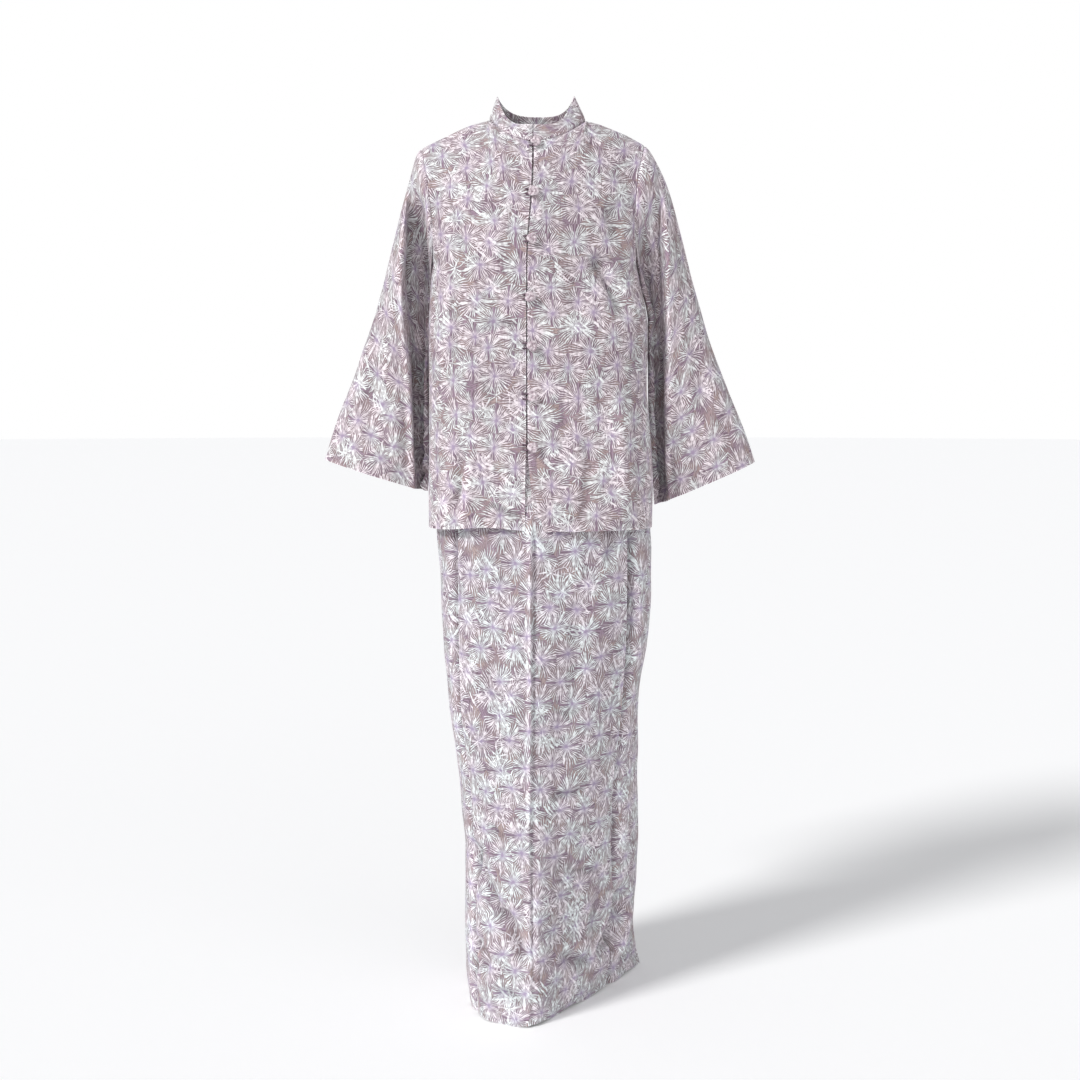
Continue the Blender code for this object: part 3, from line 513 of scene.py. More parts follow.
def uneven(points, reach, seed, free=1.0, closed=False):
    """The small unevenness of cloth that hangs: a few long, slight waves."""
    x, y, z = points[..., 0], points[..., 1], points[..., 2]
    around = x - 0.6 * y
    wave = (np.sin(around * 61 + z * 7 + seed) + 0.7 * np.sin(around * 104 - z * 19 + 2.1 * seed)
            + 0.5 * np.sin(around * 37 + z * 43 + 1.3 * seed) + 0.4 * np.sin(z * 71 + around * 23 + seed))
    return points + outward(points, closed) * (wave * reach / 2.6 * free)[..., None]


def at_edge(fold):
    """Lets a fold that is written for a grid's first row run on any edge of the points and their
    outward directions: 'low' or 'high' for a row, 'first' or 'last' for a column."""
    def folded(points, normals, edge, depth=0.005):
        column = edge in ("first", "last")
        from_end = -1 if edge in ("high", "last") else 1
        grids = [np.swapaxes(grid, 0, 1) if column else grid for grid in (points, normals)]
        grids = fold(*[grid[::from_end] for grid in grids], depth)
        grids = [grid[::from_end] for grid in grids]
        return [np.swapaxes(grid, 0, 1) if column else grid for grid in grids]
    return folded


def from_ends(count):
    """How many steps each point of a row is from the nearer end."""
    return np.minimum(np.arange(count), np.arange(count)[::-1])


@at_edge
def turned_in(points, normals, depth):
    """The grid with the cloth beyond its edge folded in behind it, as a hem or a facing."""
    gap, rows_in = 0.0016, 5
    steps_in = np.linalg.norm(np.diff(points, axis=0), axis=2).mean(axis=1)
    last = max(2, int(np.searchsorted(np.cumsum(steps_in), depth)) + 1)
    picked = np.unique(np.linspace(1, last, rows_in).round().astype(int))[::-1]
    behind = points[picked] - normals[picked] * gap
    roll = points[:1] - normals[:1] * gap * 0.75
    return np.concatenate((behind, roll, points)), np.concatenate((normals[picked], normals[:1], normals))


@at_edge
def seam_allowance(points, normals, depth):
    """The grid with a narrow allowance turned in at a sewn edge, and the edge a little sunk."""
    sunk, next_sunk, bend = 0.0016, 0.0003, 0.0028
    edge_row, edge_normals, points = points[:1].copy(), normals[:1], points.copy()
    points[0] -= normals[0] * sunk
    points[1] -= normals[1] * next_sunk
    corner = from_ends(points.shape[1])
    inwards = edge_normals * (0.15 + 0.85 * np.clip(corner / 6, 0, 1))[:, None]
    points = np.concatenate((edge_row - inwards * depth, edge_row - inwards * bend, points))
    return points, np.concatenate((edge_normals, edge_normals, normals))


def finished(points, hem, seams, facings=(), facing_depth=0.0, closed=False):
    """The grid with its hem and facings turned in and the allowances of its seams."""
    grids = turned_in(points, outward(points, closed), "low", hem)
    for edge in facings:
        grids = turned_in(*grids, edge, facing_depth)
    for edge in seams:
        grids = seam_allowance(*grids, edge)
    return grids[0]


weld = 0.00002  # points nearer than this, in metres, become one


def sewn(name, points, node, origin, bands="across", closed=False, plumb=None,
         materials=("batik", "batik_reverse")):
    """A cut piece of cloth: a plain grid moved into its form, its threads as a UV map in
    metres, a thin wall inwards, and the duller reverse of the print inside. plumb is the x at
    which the lengthwise threads hang straight down; without it that is the middle column. The
    attribute 'relief' says how far a point stands proud of the cloth around it."""
    rows, columns = points.shape[:2]
    bpy.ops.object.select_all(action="DESELECT")
    bpy.ops.mesh.primitive_grid_add(x_subdivisions=columns - 1, y_subdivisions=rows - 1, size=1)
    piece = bpy.context.object
    piece.name = piece.data.name = name
    piece.data.vertices.foreach_set("co", points.astype(np.float32).ravel())
    sides = slice(0, 3) if plumb is None else slice(0, 2)
    along_row = np.linalg.norm(np.diff(points[..., sides], axis=1), axis=2)
    up_column = np.linalg.norm(np.diff(points, axis=0), axis=2)
    u = np.concatenate((np.zeros((rows, 1)), np.cumsum(along_row, axis=1)), axis=1)
    v = np.concatenate(([0], np.cumsum(np.median(up_column, axis=1))))
    v = np.broadcast_to(v[:, None], u.shape)
    if plumb is None:
        u -= u[:, columns // 2][:, None]
    else:
        row, nearest = np.arange(rows), np.abs(points[..., 0] - plumb).argmin(axis=1)
        hand = np.sign(points[rows // 2, -1, 0] - points[rows // 2, 0, 0])
        u -= (u[row, nearest] + (plumb - points[row, nearest, 0]) * hand)[:, None]
        line = points[row, nearest]
        line = line[line[:, 2].argmin():]
        line = line[np.concatenate(([True], line[1:, 2] > np.maximum.accumulate(line[:, 2])[:-1]))]
        climb = np.concatenate(([0], np.cumsum(np.linalg.norm(np.diff(line, axis=0), axis=1))))
        v = np.interp(points[..., 2], line[:, 2], climb)
    threads = (u + origin[0], v + origin[1]) if bands == "across" else (v + origin[0], u + origin[1])
    threads = np.stack(threads, axis=-1).reshape(-1, 2)
    while piece.data.uv_layers:
        piece.data.uv_layers.remove(piece.data.uv_layers[0])
    layer = piece.data.uv_layers.new(name="threads")
    relief_reach, blurred = 0.018, points
    for axis, steps in enumerate((up_column, along_row)):
        cells = max(1, round(relief_reach / float(np.median(steps))))
        margins = [(cells, cells) if number == axis else (0, 0) for number in range(3)]
        padded = np.pad(blurred, margins, mode="edge")
        blurred = np.mean([np.take(padded, np.arange(start, start + points.shape[axis]), axis=axis)
                           for start in range(2 * cells + 1)], axis=0)
    relief = ((points - blurred) * outward(points, closed)).sum(axis=2)
    # The print reads 'relief' to paint shade into the troughs and light onto the ridges
    proud = piece.data.attributes.new("relief", "FLOAT", "POINT")
    proud.data.foreach_set("value", relief.astype(np.float32).ravel())
    corner = np.zeros(len(piece.data.loops), dtype=np.int32)
    piece.data.loops.foreach_get("vertex_index", corner)
    layer.data.foreach_set("uv", threads[corner].astype(np.float32).ravel())
    if closed:
        bpy.ops.object.mode_set(mode="EDIT")
        bpy.ops.mesh.select_all(action="SELECT")
        bpy.ops.mesh.remove_doubles(threshold=weld)
        bpy.ops.object.mode_set(mode="OBJECT")
    for material in materials:
        piece.data.materials.append(bpy.data.materials[material])
    wall = piece.modifiers.new("Wall", "SOLIDIFY")
    wall.thickness = cloth_thickness
    wall.offset = -1
    wall.material_offset = 1
    bpy.ops.object.modifier_apply(modifier=wall.name)
    bpy.ops.object.shade_smooth_by_angle(angle=math.radians(50))
    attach(piece, "root")
    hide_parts(node)


body_levels = np.concatenate((np.linspace(0, underarm_level, 140),
                              underarm_level + (1 - underarm_level) * np.linspace(0, 1, 71)[1:]))
body_creases = crease_list("""
    77 -212  112 -262  142 -325 | 16 -11.2 0.2 0.3
    105 -130  128 -200 | 14 -7.2 0.3 0.3
    -100 -328  -30 -326 | 10 -5.1 0.3 0.3
    -121 -500  -140 -625 | 10 -7.2 0.3 0.3
    -108 -520  -122 -640 | 9 6.4 0.3 0.1
    120 -400  132 -640 | 18 9.6 0.4 0.2
    77 -212  108 -258  142 -325 | 6 -4.5 0.2 0.5
    92 -228  128 -262  158 -310 | 7 4.5 0.3 0.4
    -62 -326  -30 -330  -22 -328 | 4 -3.2 0.3 0.2
    -121 -568  -132 -590  -143 -619 | 5 -5.8 0.3 0.3
    -80 -604  -55 -618  -26 -629 | 6 -5.8 0.3 0.2
    -88 -590  -60 -606  -30 -614 | 5 3.8 0.3 0.3
    -150 -250  -130 -330  -148 -430 | 10 -4.8 0.4 0.4
    60 -470  76 -540  66 -640 | 9 -4.5 0.4 0.1
    30 -180  52 -260  46 -360 | 12 -3.5 0.4 0.4
    -60 -130  -72 -210  -64 -300 | 12 3.5 0.4 0.4
    -150 -120  -128 -170  -120 -240 | 8 -4.8 0.3 0.4
    -90 -380  -78 -440  -90 -510 | 10 -3.5 0.4 0.4
    20 -420  36 -470  30 -540 | 10 -3.5 0.4 0.4
""")
back_creases = crease_list("""
    -75 -200  -58 -420  -60 -650 | 22 -8 0.4 0.05
    70 -250  72 -450  85 -650 | 22 -7.2 0.4 0.05
    5 -330  -4 -500  0 -650 | 20 5.6 0.4 0.05
    -120 -300  -108 -430  -122 -560 | 12 -3.5 0.4 0.4
    118 -360  130 -480  122 -600 | 10 -3.2 0.4 0.3
    30 -560  50 -600  86 -615 | 7 -2.9 0.4 0.3
    -100 -90  -60 -130  -10 -140 | 12 -2.9 0.4 0.4
""")
around_back = np.linspace(1, 3, 151)
held = 1 - np.abs(around_back - 2) ** 8
back = body_points(around_back, body_levels, False)
back = creased(back, 1, back_creases, held)
back = uneven(back, 0.0012, 1.7, held)
back[..., 1] = np.maximum(back[..., 1], 0.0001)
back = finished(back, 0.020, ("high", "first", "last"))
sewn("blouse_back_cloth", back, "blouse_back",
     bands="up", origin=(0.013, 0.4), plumb=0.09)


# Blouse fronts. Two panels that meet at the centre front, each with its front edge folded
# back inside as a facing, and a turned hem. The fold lets the two edges part near the hem.
def front_cloth(sign):
    """One front panel, from its folded edge to the side seam; sign -1 is the wearer's right."""
    z = opening["z"][0] + (opening["z"][-1] - opening["z"][0]) * body_levels
    edge = sign * (smooth(z, opening["z"], opening["gap"]) / 2 + 0.0004) / quarter_length
    share = np.linspace(0, 1, 90)
    place = edge[:, None] + (sign - edge[:, None]) * share
    held = 1 - share ** 8
    if sign < 0:
        place, held = place[:, ::-1], held[::-1]
    points = body_points(place, body_levels)
    points = creased(points, -1, body_creases, held)
    points = uneven(points, 0.0012, 4.1 + sign, held)
    points[..., 1] = np.minimum(points[..., 1], -0.0001)
    inner, outer = ("first", "last") if sign > 0 else ("last", "first")
    return finished(points, 0.020, ("high", outer), (inner,), 0.026)


sewn("blouse_front_right_cloth", front_cloth(-1), "blouse_front_right",
     bands="up", origin=(0.021, 1.1), plumb=-0.09)
sewn("blouse_front_left_cloth", front_cloth(1), "blouse_front_left",
     bands="up", origin=(0.037, 2.3), plumb=0.08)


# Sleeves. Each is one flat piece, closed by a seam under the arm and set into the armhole. They
# hang a little away from the body and widen to the wrist, where the edge is turned in.
sleeve_right_sizes = table("""
    along outer_x outer_z inner_x inner_z middle_y half_depth
    0.00  -0.190  -0.042  -0.1720 -0.225  0.000    0.056
    0.10  -0.2105 -0.094  -0.1770 -0.262  0.010    0.057
    0.25  -0.238  -0.185  -0.1805 -0.318  0.020    0.055
    0.45  -0.265  -0.288  -0.1812 -0.392  0.028    0.052
    0.65  -0.300  -0.386  -0.1815 -0.465  0.032    0.049
    0.85  -0.334  -0.472  -0.1825 -0.540  0.034    0.047
    1.00  -0.356  -0.541  -0.1860 -0.594  0.035    0.046
""")
sleeve_left_sizes = table("""
    along outer_x outer_z inner_x inner_z middle_y half_depth
    0.00  0.168   -0.037  0.1550  -0.225  0.000    0.056
    0.10  0.2035  -0.098  0.1640  -0.264  0.010    0.057
    0.25  0.232   -0.185  0.1755  -0.322  0.020    0.055
    0.45  0.261   -0.290  0.1765  -0.400  0.028    0.052
    0.65  0.294   -0.386  0.1790  -0.476  0.032    0.049
    0.85  0.330   -0.474  0.1840  -0.554  0.034    0.047
    1.00  0.356   -0.545  0.1890  -0.616  0.035    0.046
""")
sleeve_creases = crease_list("""
    -190 -96  -196 -220  -194 -360 | 12 -18.2 0.2 0.2
    -195 -320  -192 -450  -188 -610 | 12 -16.8 0.2 0.1
    -203 -150  -210 -260  -212 -420  -206 -600 | 4 2.8 0.2 0.1
    -262 -380  -284 -443  -280 -530 | 14 -5.6 0.3 0.2
    -232 -420  -240 -560 | 14 4.2 0.3 0.1
    -199 -121  -214 -242  -219 -323 | 6 -3.9 0.3 0.3
    -205 -160  -232 -250  -252 -330 | 9 2.5 0.3 0.3
    -300 -450  -318 -500  -334 -545 | 12 -2.2 0.4 0.1
    158 -88  170 -236  184 -350 | 11 -15.4 0.2 0.2
    186 -320  186 -450  194 -620 | 12 -15.4 0.2 0.1
    176 -130  192 -260  205 -420  208 -600 | 4 2.8 0.2 0.1
    242 -315  258 -410  269 -500 | 14 -5.6 0.3 0.3
    222 -480  232 -600 | 12 4.2 0.3 0.1
    212 -516  218 -573 | 5 -3.1 0.4 0.3
    186 -130  212 -230  236 -320 | 9 2.5 0.3 0.3
    290 -440  306 -500  330 -550 | 11 -2.2 0.4 0.1
""")
sleeve_folds = (table("""
    z      x       depth
    -0.080 -0.214  0.000
    -0.140 -0.2175 0.026
    -0.220 -0.2215 0.044
    -0.310 -0.2215 0.050
    -0.380 -0.2150 0.050
    -0.480 -0.2080 0.046
    -0.620 -0.2060 0.040
"""), table("""
    z      x      depth
    -0.080 0.196  0.000
    -0.150 0.199  0.018
    -0.240 0.203  0.030
    -0.340 0.206  0.038
    -0.460 0.207  0.038
    -0.640 0.208  0.030
"""))
sleeve_back_creases = crease_list("""
    -205 -150  -214 -290  -225 -420 | 14 -9.6 0.3 0.3
    -270 -350  -290 -440  -300 -560 | 16 -6.4 0.3 0.1
    -236 -300  -250 -400  -246 -520 | 10 3.2 0.4 0.3
    190 -160  200 -300  215 -420 | 14 -9.6 0.3 0.3
    265 -360  288 -450  300 -560 | 16 -6.4 0.3 0.1
    230 -290  246 -400  240 -520 | 10 3.2 0.4 0.3
""")


def body_direction(side, turn):
    """The way in which the body's surface runs out over the armhole seam."""
    pulls = []
    for angle in turn:
        is_front = math.sin(angle) >= 0
        rise = 1 - abs(math.remainder(angle, 2 * math.pi)) / math.pi
        places = np.array((1 + (-0.02 if is_front else 0.02), 1)) * (1 if side else -1)
        near, seam = body_points(places, [underarm_level + (1 - underarm_level) * rise], is_front)[0]
        pull = (seam - near) / np.linalg.norm(seam - near)
        run = armhole(side, angle + 0.01) - armhole(side, angle - 0.01)
        run /= np.linalg.norm(run)
        pulls.append(pull - np.dot(pull, run) * run)
    pulls = np.array(pulls)
    return pulls / np.linalg.norm(pulls, axis=1, keepdims=True)


def sleeve_cloth(side, sizes):
    """A sleeve from cuff to armhole. It leaves the seam in line with the body, except at the
    underarm, where it turns down beside it."""
    hand, fade, seam_gap, beside_body = 1 if side else -1, 0.15, 0.0003, 0.0006
    along = np.concatenate(((0.0, 0.004, 0.010), np.linspace(0, 1, 160)[2:]))
    turn = np.linspace(-math.pi, math.pi, 141)
    rings = []
    for place in along:
        row = {name: smooth(place, sizes["along"], column) for name, column in sizes.items()}
        middle = np.array(((row["outer_x"] + row["inner_x"]) / 2, row["middle_y"],
                           (row["outer_z"] + row["inner_z"]) / 2))
        half = np.array(((row["outer_x"] - row["inner_x"]) / 2, 0.0,
                         (row["outer_z"] - row["inner_z"]) / 2))
        ring = middle + half * np.cos(turn)[:, None]
        ring[:, 1] -= row["half_depth"] * np.sin(turn)
        ring[:, 0] -= armhole_sizes["bow"][side] * math.exp(-place / fade) * hand * np.sin(turn) ** 2
        rings.append(ring)
    rings = np.array(rings)
    own_pull = rings[1] - rings[0]
    strip = np.linalg.norm(own_pull, axis=1, keepdims=True)
    own_pull = own_pull / strip
    start_pull = body_direction(side, turn)
    weight = ease((np.cos(turn) + 0.95) / 0.80)[:, None]
    reach = 0.55 * along * np.exp(-along / 0.03)
    rings = rings + reach[:, None, None] * weight * (start_pull - own_pull)
    first = weight * start_pull + (1 - weight) * own_pull
    first = first / np.linalg.norm(first, axis=1, keepdims=True)
    rings[0] += seam_gap * first
    rings[1] = rings[0] + strip * first
    rings[:, :, 0] += hand * beside_body * (1 - weight[:, 0])
    rings[:, -1] = rings[:, 0]
    rings = rings[::-1, ::-1] if side else rings[::-1]
    held = ease(along[::-1] / fade)[:, None]
    fold, valley_width, ridge_width, ridge_height = sleeve_folds[side], 0.009, 0.007, 0.0035
    x, z = rings[..., 0], rings[..., 2]
    fold_x = np.interp(-z, -fold["z"], fold["x"])
    in_front = np.clip((sizes["middle_y"][-1] * along[::-1][:, None] - rings[..., 1]) / 0.046, 0, 1)
    past = ease(hand * (fold_x - x) / valley_width) * np.interp(-z, -fold["z"], fold["depth"])
    ridge = np.exp(-((fold_x + hand * 0.002 - x) / ridge_width) ** 2) * ridge_height
    rings[..., 1] += (past * in_front - ridge * (in_front > 0.2)) * held
    rings = creased(rings, -1, sleeve_creases, held, closed=True)
    rings = creased(rings, 1, sleeve_back_creases, held, closed=True)
    rings = uneven(rings, 0.0012, 2.9 + side, held, closed=True)
    rings[:, -1] = rings[:, 0]
    rings = finished(rings, 0.020, ("high",), closed=True)
    rings[:, -1] = rings[:, 0]
    return rings


sewn("sleeve_right_cloth", sleeve_cloth(0, sleeve_right_sizes), "sleeve_right",
     closed=True, origin=(0.009, 3.2))
sewn("sleeve_left_cloth", sleeve_cloth(1, sleeve_left_sizes), "sleeve_left",
     closed=True, origin=(0.031, 4.6))


# Collar. A stand of two layers of cloth with a light interlining, sewn into the neckline and
# turned over its top edge, with the two ends meeting at the centre front.
collar_top = table("""
    side_x side_z
    -0.069 0.040
    0.056  0.041
""")
collar_top_front, collar_top_back = (-0.066, -0.014), (0.056, 0.018)


def collar_cloth():
    """The collar from its seam up the outside, over the top and down the inside."""
    shrunk, above_seam = 0.997, 0.0002
    edge = opening["gap"][-1] / 2 / quarter_length
    on_neck = np.linspace(0, neck_share, 18)
    front_shares = (edge + (1 - edge) * on_neck) / neck_share
    front_shares[-1] = 1.0
    back_shares = on_neck / neck_share
    rows = []
    for up in np.linspace(0, 1, 9):
        stretch = []
        for side, front, shares in ((1, True, front_shares), (1, False, back_shares[-2::-1]),
                                    (0, False, back_shares[1:]), (0, True, front_shares[-2::-1])):
            neck_y, neck_z = neck_front if front else neck_back
            top_y, top_z = collar_top_front if front else collar_top_back
            neck_x = opening["middle"][-1] if front else 0.0
            low_x, low_z = shoulder["neck_x"][side], shoulder["neck_z"][side]
            high_x, high_z = collar_top["side_x"][side], collar_top["side_z"][side]
            x0, y0 = quarter((neck_x, neck_y), (low_x, 0.0), 2.0, shares)
            z0 = neck_z + (low_z - neck_z) * ((x0 - neck_x) / (low_x - neck_x)) ** 2
            x1, y1 = quarter((neck_x, top_y), (high_x, 0.0), 2.0, shares)
            z1 = top_z + (high_z - top_z) * ((x1 - neck_x) / (high_x - neck_x)) ** 4
            base = np.stack((neck_x + (x0 - neck_x) * shrunk, y0 * shrunk, z0 + above_seam), axis=-1)
            stretch.append(base + (np.stack((x1, y1, z1), axis=-1) - base) * up)
        rows.append(np.concatenate(stretch))
    outside = uneven(np.array(rows), 0.0004, 0.6)
    normals = outward(outside)
    end_thickness, thickness, sunk, next_sunk = 0.0012, 0.0022, 0.0020, 0.0003
    thick = np.where(from_ends(outside.shape[1]) == 0, end_thickness, thickness)[:, None]
    top = outside[-1:] - normals[-1:] * thick * 0.5
    top[..., 2] += 0.0006
    inside = (outside - normals * thick)[::-1]
    outside[0] -= normals[0] * sunk
    outside[1] -= normals[1] * next_sunk
    low = outside[:1] - normals[:1] * 0.0010
    low[..., 2] -= 0.003
    return np.concatenate((low, outside, top, inside))


sewn("collar_cloth", collar_cloth(), "collar",
     bands="up", origin=(0.046, 5.5))


# Placket. A strip of the same cloth sewn behind the left front, so that nothing shows between
# the buttons.
placket_levels = body_levels[(body_levels > 0.004) & (body_levels < 0.996)]
strip = body_points(np.linspace(-0.05, 0.08, 9), placket_levels)
strip = creased(strip, -1, body_creases)
strip = uneven(strip, 0.0012, 4.1)
behind_front = 0.0046
strip = strip - outward(strip) * behind_front
sewn("placket_cloth", strip, "placket",
     bands="up", origin=(0.011, 6.1))


# Buttons. Each is a rouleau, a thin tube of bias-cut cloth, knotted into a tight ball on a
# short shank that is sewn to the left front.
def front_frame(x, z):
    """The place on the front at a given x and z near the opening, and the outward direction."""
    levels = np.linspace(0, 1, 161)
    middle = body_points(np.array((0.0,)), levels)[:, 0]
    level = np.interp(z, middle[:, 2], levels)
    near = np.linspace(-0.12, 0.12, 25)
    share = np.interp(x, body_points(near, [level])[0, :, 0], near)
    reach = np.array((-0.005, 0.0, 0.005))
    patch = body_points(share + reach, np.clip(level + reach, 0, 1))
    return Vector(patch[1, 1]), Vector(outward(patch)[1, 1])


def rouleau_cloth(name, dark, light):
    """Cloth of the knots: the print is too small to read on it, so only its patches of dark
    and light show, over threads that run on the bias."""
    put, finish = material_kit(name)
    place = put("TexCoord", out="Object")
    patches = put("TexNoise", out="Fac", inputs={"Vector": place, "Scale": 260, "Detail": 2})
    share = put("MapRange", inputs={"Value": patches, "From Min": 0.42, "From Max": 0.60})
    tint = put("Mix", out=2, data_type="RGBA", inputs={0: share, 6: (*dark, 1), 7: (*light, 1)})
    thread = put("TexWave", out="Fac", bands_direction="DIAGONAL", inputs={"Vector": place, "Scale": 480})
    bumps = put("Bump", inputs={"Strength": 0.4, "Distance": 0.0002, "Height": thread})
    return finish({"Base Color": tint, "Normal": bumps, "Roughness": 0.82, "Specular IOR Level": 0.25,
                   "Sheen Weight": 0.12})


knot_cloth = rouleau_cloth("knot_cloth", (0.42, 0.33, 0.37), (0.78, 0.70, 0.73))
button_places = ((-0.006, -0.046), (-0.010, -0.124), (-0.012, -0.196), (-0.015, -0.285),
                 (-0.012, -0.360), (-0.011, -0.438), (-0.011, -0.517))


def cord(name, points, radius, cyclic, node, cloth):
    """A rouleau along a smooth path, as a mesh."""
    curve = bpy.data.curves.new(name, "CURVE")
    curve.dimensions = "3D"
    curve.bevel_depth = radius
    curve.bevel_resolution = 3
    curve.use_fill_caps = not cyclic
    spline = curve.splines.new("POLY")
    spline.points.add(len(points) - 1)
    for point, place in zip(spline.points, points):
        point.co = (*place, 1.0)
    spline.use_cyclic_u = cyclic
    piece = bpy.data.objects.new(name, curve)
    bpy.context.collection.objects.link(piece)
    bpy.ops.object.select_all(action="DESELECT")
    piece.select_set(True)
    bpy.context.view_layer.objects.active = piece
    bpy.ops.object.convert(target="MESH")
    piece = bpy.context.object
    bpy.ops.object.mode_set(mode="EDIT")
    bpy.ops.mesh.select_all(action="SELECT")
    bpy.ops.mesh.remove_doubles(threshold=weld)
    bpy.ops.mesh.normals_make_consistent(inside=False)
    bpy.ops.object.mode_set(mode="OBJECT")
    piece.data.materials.append(cloth)
    bpy.ops.object.shade_smooth_by_angle(angle=math.radians(60))
    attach(piece, "root")
    if node:
        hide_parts(node)


knot_radius, knot_swing, knot_height, knot_lift = 0.0043, 0.0020, 0.0070, 0.0024
for number, (x, z) in enumerate(button_places, start=1):
    place, out = front_frame(x, z)
    turned = out.to_track_quat("Z", "Y")
    knot = []
    for step in np.linspace(0, 2 * math.pi, 64, endpoint=False):
        ring, turn = knot_radius + knot_swing * math.cos(3 * step), 2 * step + number
        height = knot_height + knot_lift * math.sin(3 * step)
        knot.append(place + turned @ Vector((ring * math.cos(turn), ring * math.sin(turn), height)))
    cord(f"button_{number}_knot", knot, 0.0028, True, f"button_{number}", knot_cloth)
    shank = [place + out * height for height in (0.0002, 0.0025, 0.0060)]
    cord(f"button_{number}_shank", shank, 0.0020, False, None, knot_cloth)


# Loops. A thinner rouleau, sewn to the right front's edge; it runs round each button's shank and
# back. Its cloth is painted near black: painted shade under and beside each button.
loop_painted_shade = rouleau_cloth("loop_painted_shade", (0.085, 0.050, 0.070), (0.22, 0.15, 0.19))
round_shank, loop_lift, loop_radius = 0.0042, 0.0018, 0.0013
for number, (x, z) in enumerate(button_places, start=1):
    middle = smooth(z, opening["z"], opening["middle"])
    route = [(middle - 0.0065, 0.0036), (middle - 0.0045, 0.0039), (middle - 0.0022, 0.0041)]
    route += [(x + round_shank * math.cos(turn), round_shank * math.sin(turn))
              for turn in np.radians(np.linspace(90, -90, 13))]
    route += [(side, -up) for side, up in reversed(route[:3])]
    path = []
    for side, up in route:
        place, out = front_frame(side, z + up)
        path.append(place + out * loop_lift)
    cord(f"loop_{number}_cord", path, loop_radius, False, f"loop_{number}", loop_painted_shade)


# Skirt. A front panel with a crease pressed down its middle laps over the two side panels,
# its edges folded under; the side panels meet the back panel in plain seams.
skirt_table = table("""
    z      right  left   front  back  crease right_y left_y round_right round_left
    -1.440 -0.118 0.178  -0.138 0.156 -0.016 0.050   0.139  3.1         1.15
    -1.405 -0.124 0.170  -0.138 0.154 -0.016 0.060   0.130  3.1         1.25
    -1.351 -0.127 0.164  -0.138 0.152 -0.016 0.065   0.110  3.1         1.35
    -1.213 -0.127 0.168  -0.137 0.148 -0.016 0.065   0.080  2.8         1.50
    -1.076 -0.134 0.165  -0.135 0.142 -0.016 0.040   0.050  2.6         1.65
    -0.941 -0.151 0.166  -0.132 0.134 -0.015 0.020   0.028  2.4         1.80
    -0.807 -0.160 0.181  -0.127 0.124 -0.014 0.005   0.010  2.3         1.95
    -0.690 -0.166 0.1830 -0.122 0.113 -0.013 0.000   0.000  2.2         2.10
    -0.648 -0.168 0.1806 -0.120 0.110 -0.013 0.000   0.000  2.2         2.15
    -0.580 -0.165 0.174  -0.116 0.107 -0.012 0.000   0.000  2.2         2.20
    -0.500 -0.152 0.158  -0.109 0.098 -0.012 0.000   0.000  2.2         2.20
    -0.450 -0.138 0.140  -0.100 0.088 -0.012 0.000   0.000  2.2         2.20
""")
floor_z, waist_z, band_height = -1.440, -0.450, 0.030
panel_fold, side_seam = 0.014, 1.35
behind_panel, fold_place, fold_depth = 0.0035, 0.006, 0.012
panel_edges = table("""
    z      right  left
    -1.440 -0.100 0.112
    -1.335 -0.103 0.121
    -1.213 -0.104 0.121
    -1.090 -0.110 0.121
    -0.930 -0.127 0.133
    -0.800 -0.130 0.139
    -0.648 -0.130 0.139
    -0.450 -0.112 0.116
""")
pressed_crease = crease_list("-13 -560  -15 -870  -16 -1150  -16 -1450 | 45 11 0.1 0.01")
skirt_creases = crease_list("""
    -8 -600  -10 -870  -11 -1150  -11 -1450 | 4 -4.2 0.1 0.01
    152 -1250  128 -1320  98 -1378 | 10 -17.6 0.3 0.2
    158 -1300  146 -1350  132 -1400 | 10 9.6 0.3 0.2
    150 -1290  135 -1330  118 -1372 | 8 -9.6 0.3 0.2
    -16 -600  -15 -870  -16 -1150 | 6 5.1 0.2 0.3
    109 -620  112 -720 | 8 -5.6 0.2 0.4
    -111 -1143  -97 -1205  -72 -1253  -51 -1280 | 12 -15.2 0.2 0.2
    -72 -1253  -51 -1270  -32 -1319  -13 -1340 | 11 -14.4 0.2 0.3
    -118 -1300  -88 -1339  -105 -1372 | 9 -11.2 0.3 0.3
    -67 -1380  -26 -1405 | 9 -8.8 0.3 0.3
    12 -1070  80 -1066 | 9 -7.2 0.3 0.3
    30 -1330  60 -1356  90 -1372 | 12 -11.2 0.3 0.3
    -80 -700  -86 -820  -80 -960 | 13 -4.8 0.4 0.4
    50 -700  56 -850  48 -1000 | 13 -4.5 0.4 0.4
    -100 -690  -60 -700  -28 -696 | 5 -3.2 0.4 0.4
    20 -760  50 -768  90 -760 | 5 -3.2 0.4 0.4
    -100 -900  -70 -910  -40 -902 | 6 -3.2 0.4 0.4
    -110 -1020  -80 -1034  -44 -1030 | 6 -3.8 0.4 0.4
    15 -930  50 -940  100 -930 | 6 -3.8 0.4 0.4
    20 -1180  60 -1200  105 -1205 | 7 -4.5 0.4 0.4
    -95 -1110  -60 -1132  -25 -1130 | 6 -4.2 0.4 0.4
    108 -1230  90 -1290  98 -1360 | 10 -6.4 0.4 0.4
    148 -690  160 -810  150 -950 | 8 3.2 0.3 0.4
    130 -1000  128 -1185  143 -1306  121 -1400 | 12 -6.4 0.3 0.2
""")
skirt_back_creases = crease_list("""
    -50 -700  -52 -1050  -60 -1450 | 26 11.2 0.3 0.02
    15 -750  8 -1100  10 -1450 | 24 -11.2 0.3 0.02
    75 -700  84 -1050  90 -1450 | 26 9.8 0.3 0.02
    -95 -780  -90 -1000  -98 -1250 | 12 -4.2 0.4 0.4
    50 -900  44 -1080  52 -1300 | 10 -4.2 0.4 0.4
    60 -1330  20 -1352  -30 -1348 | 12 -4.2 0.4 0.4
    -110 -720  -60 -736  0 -724 | 8 -2.2 0.4 0.4
""")


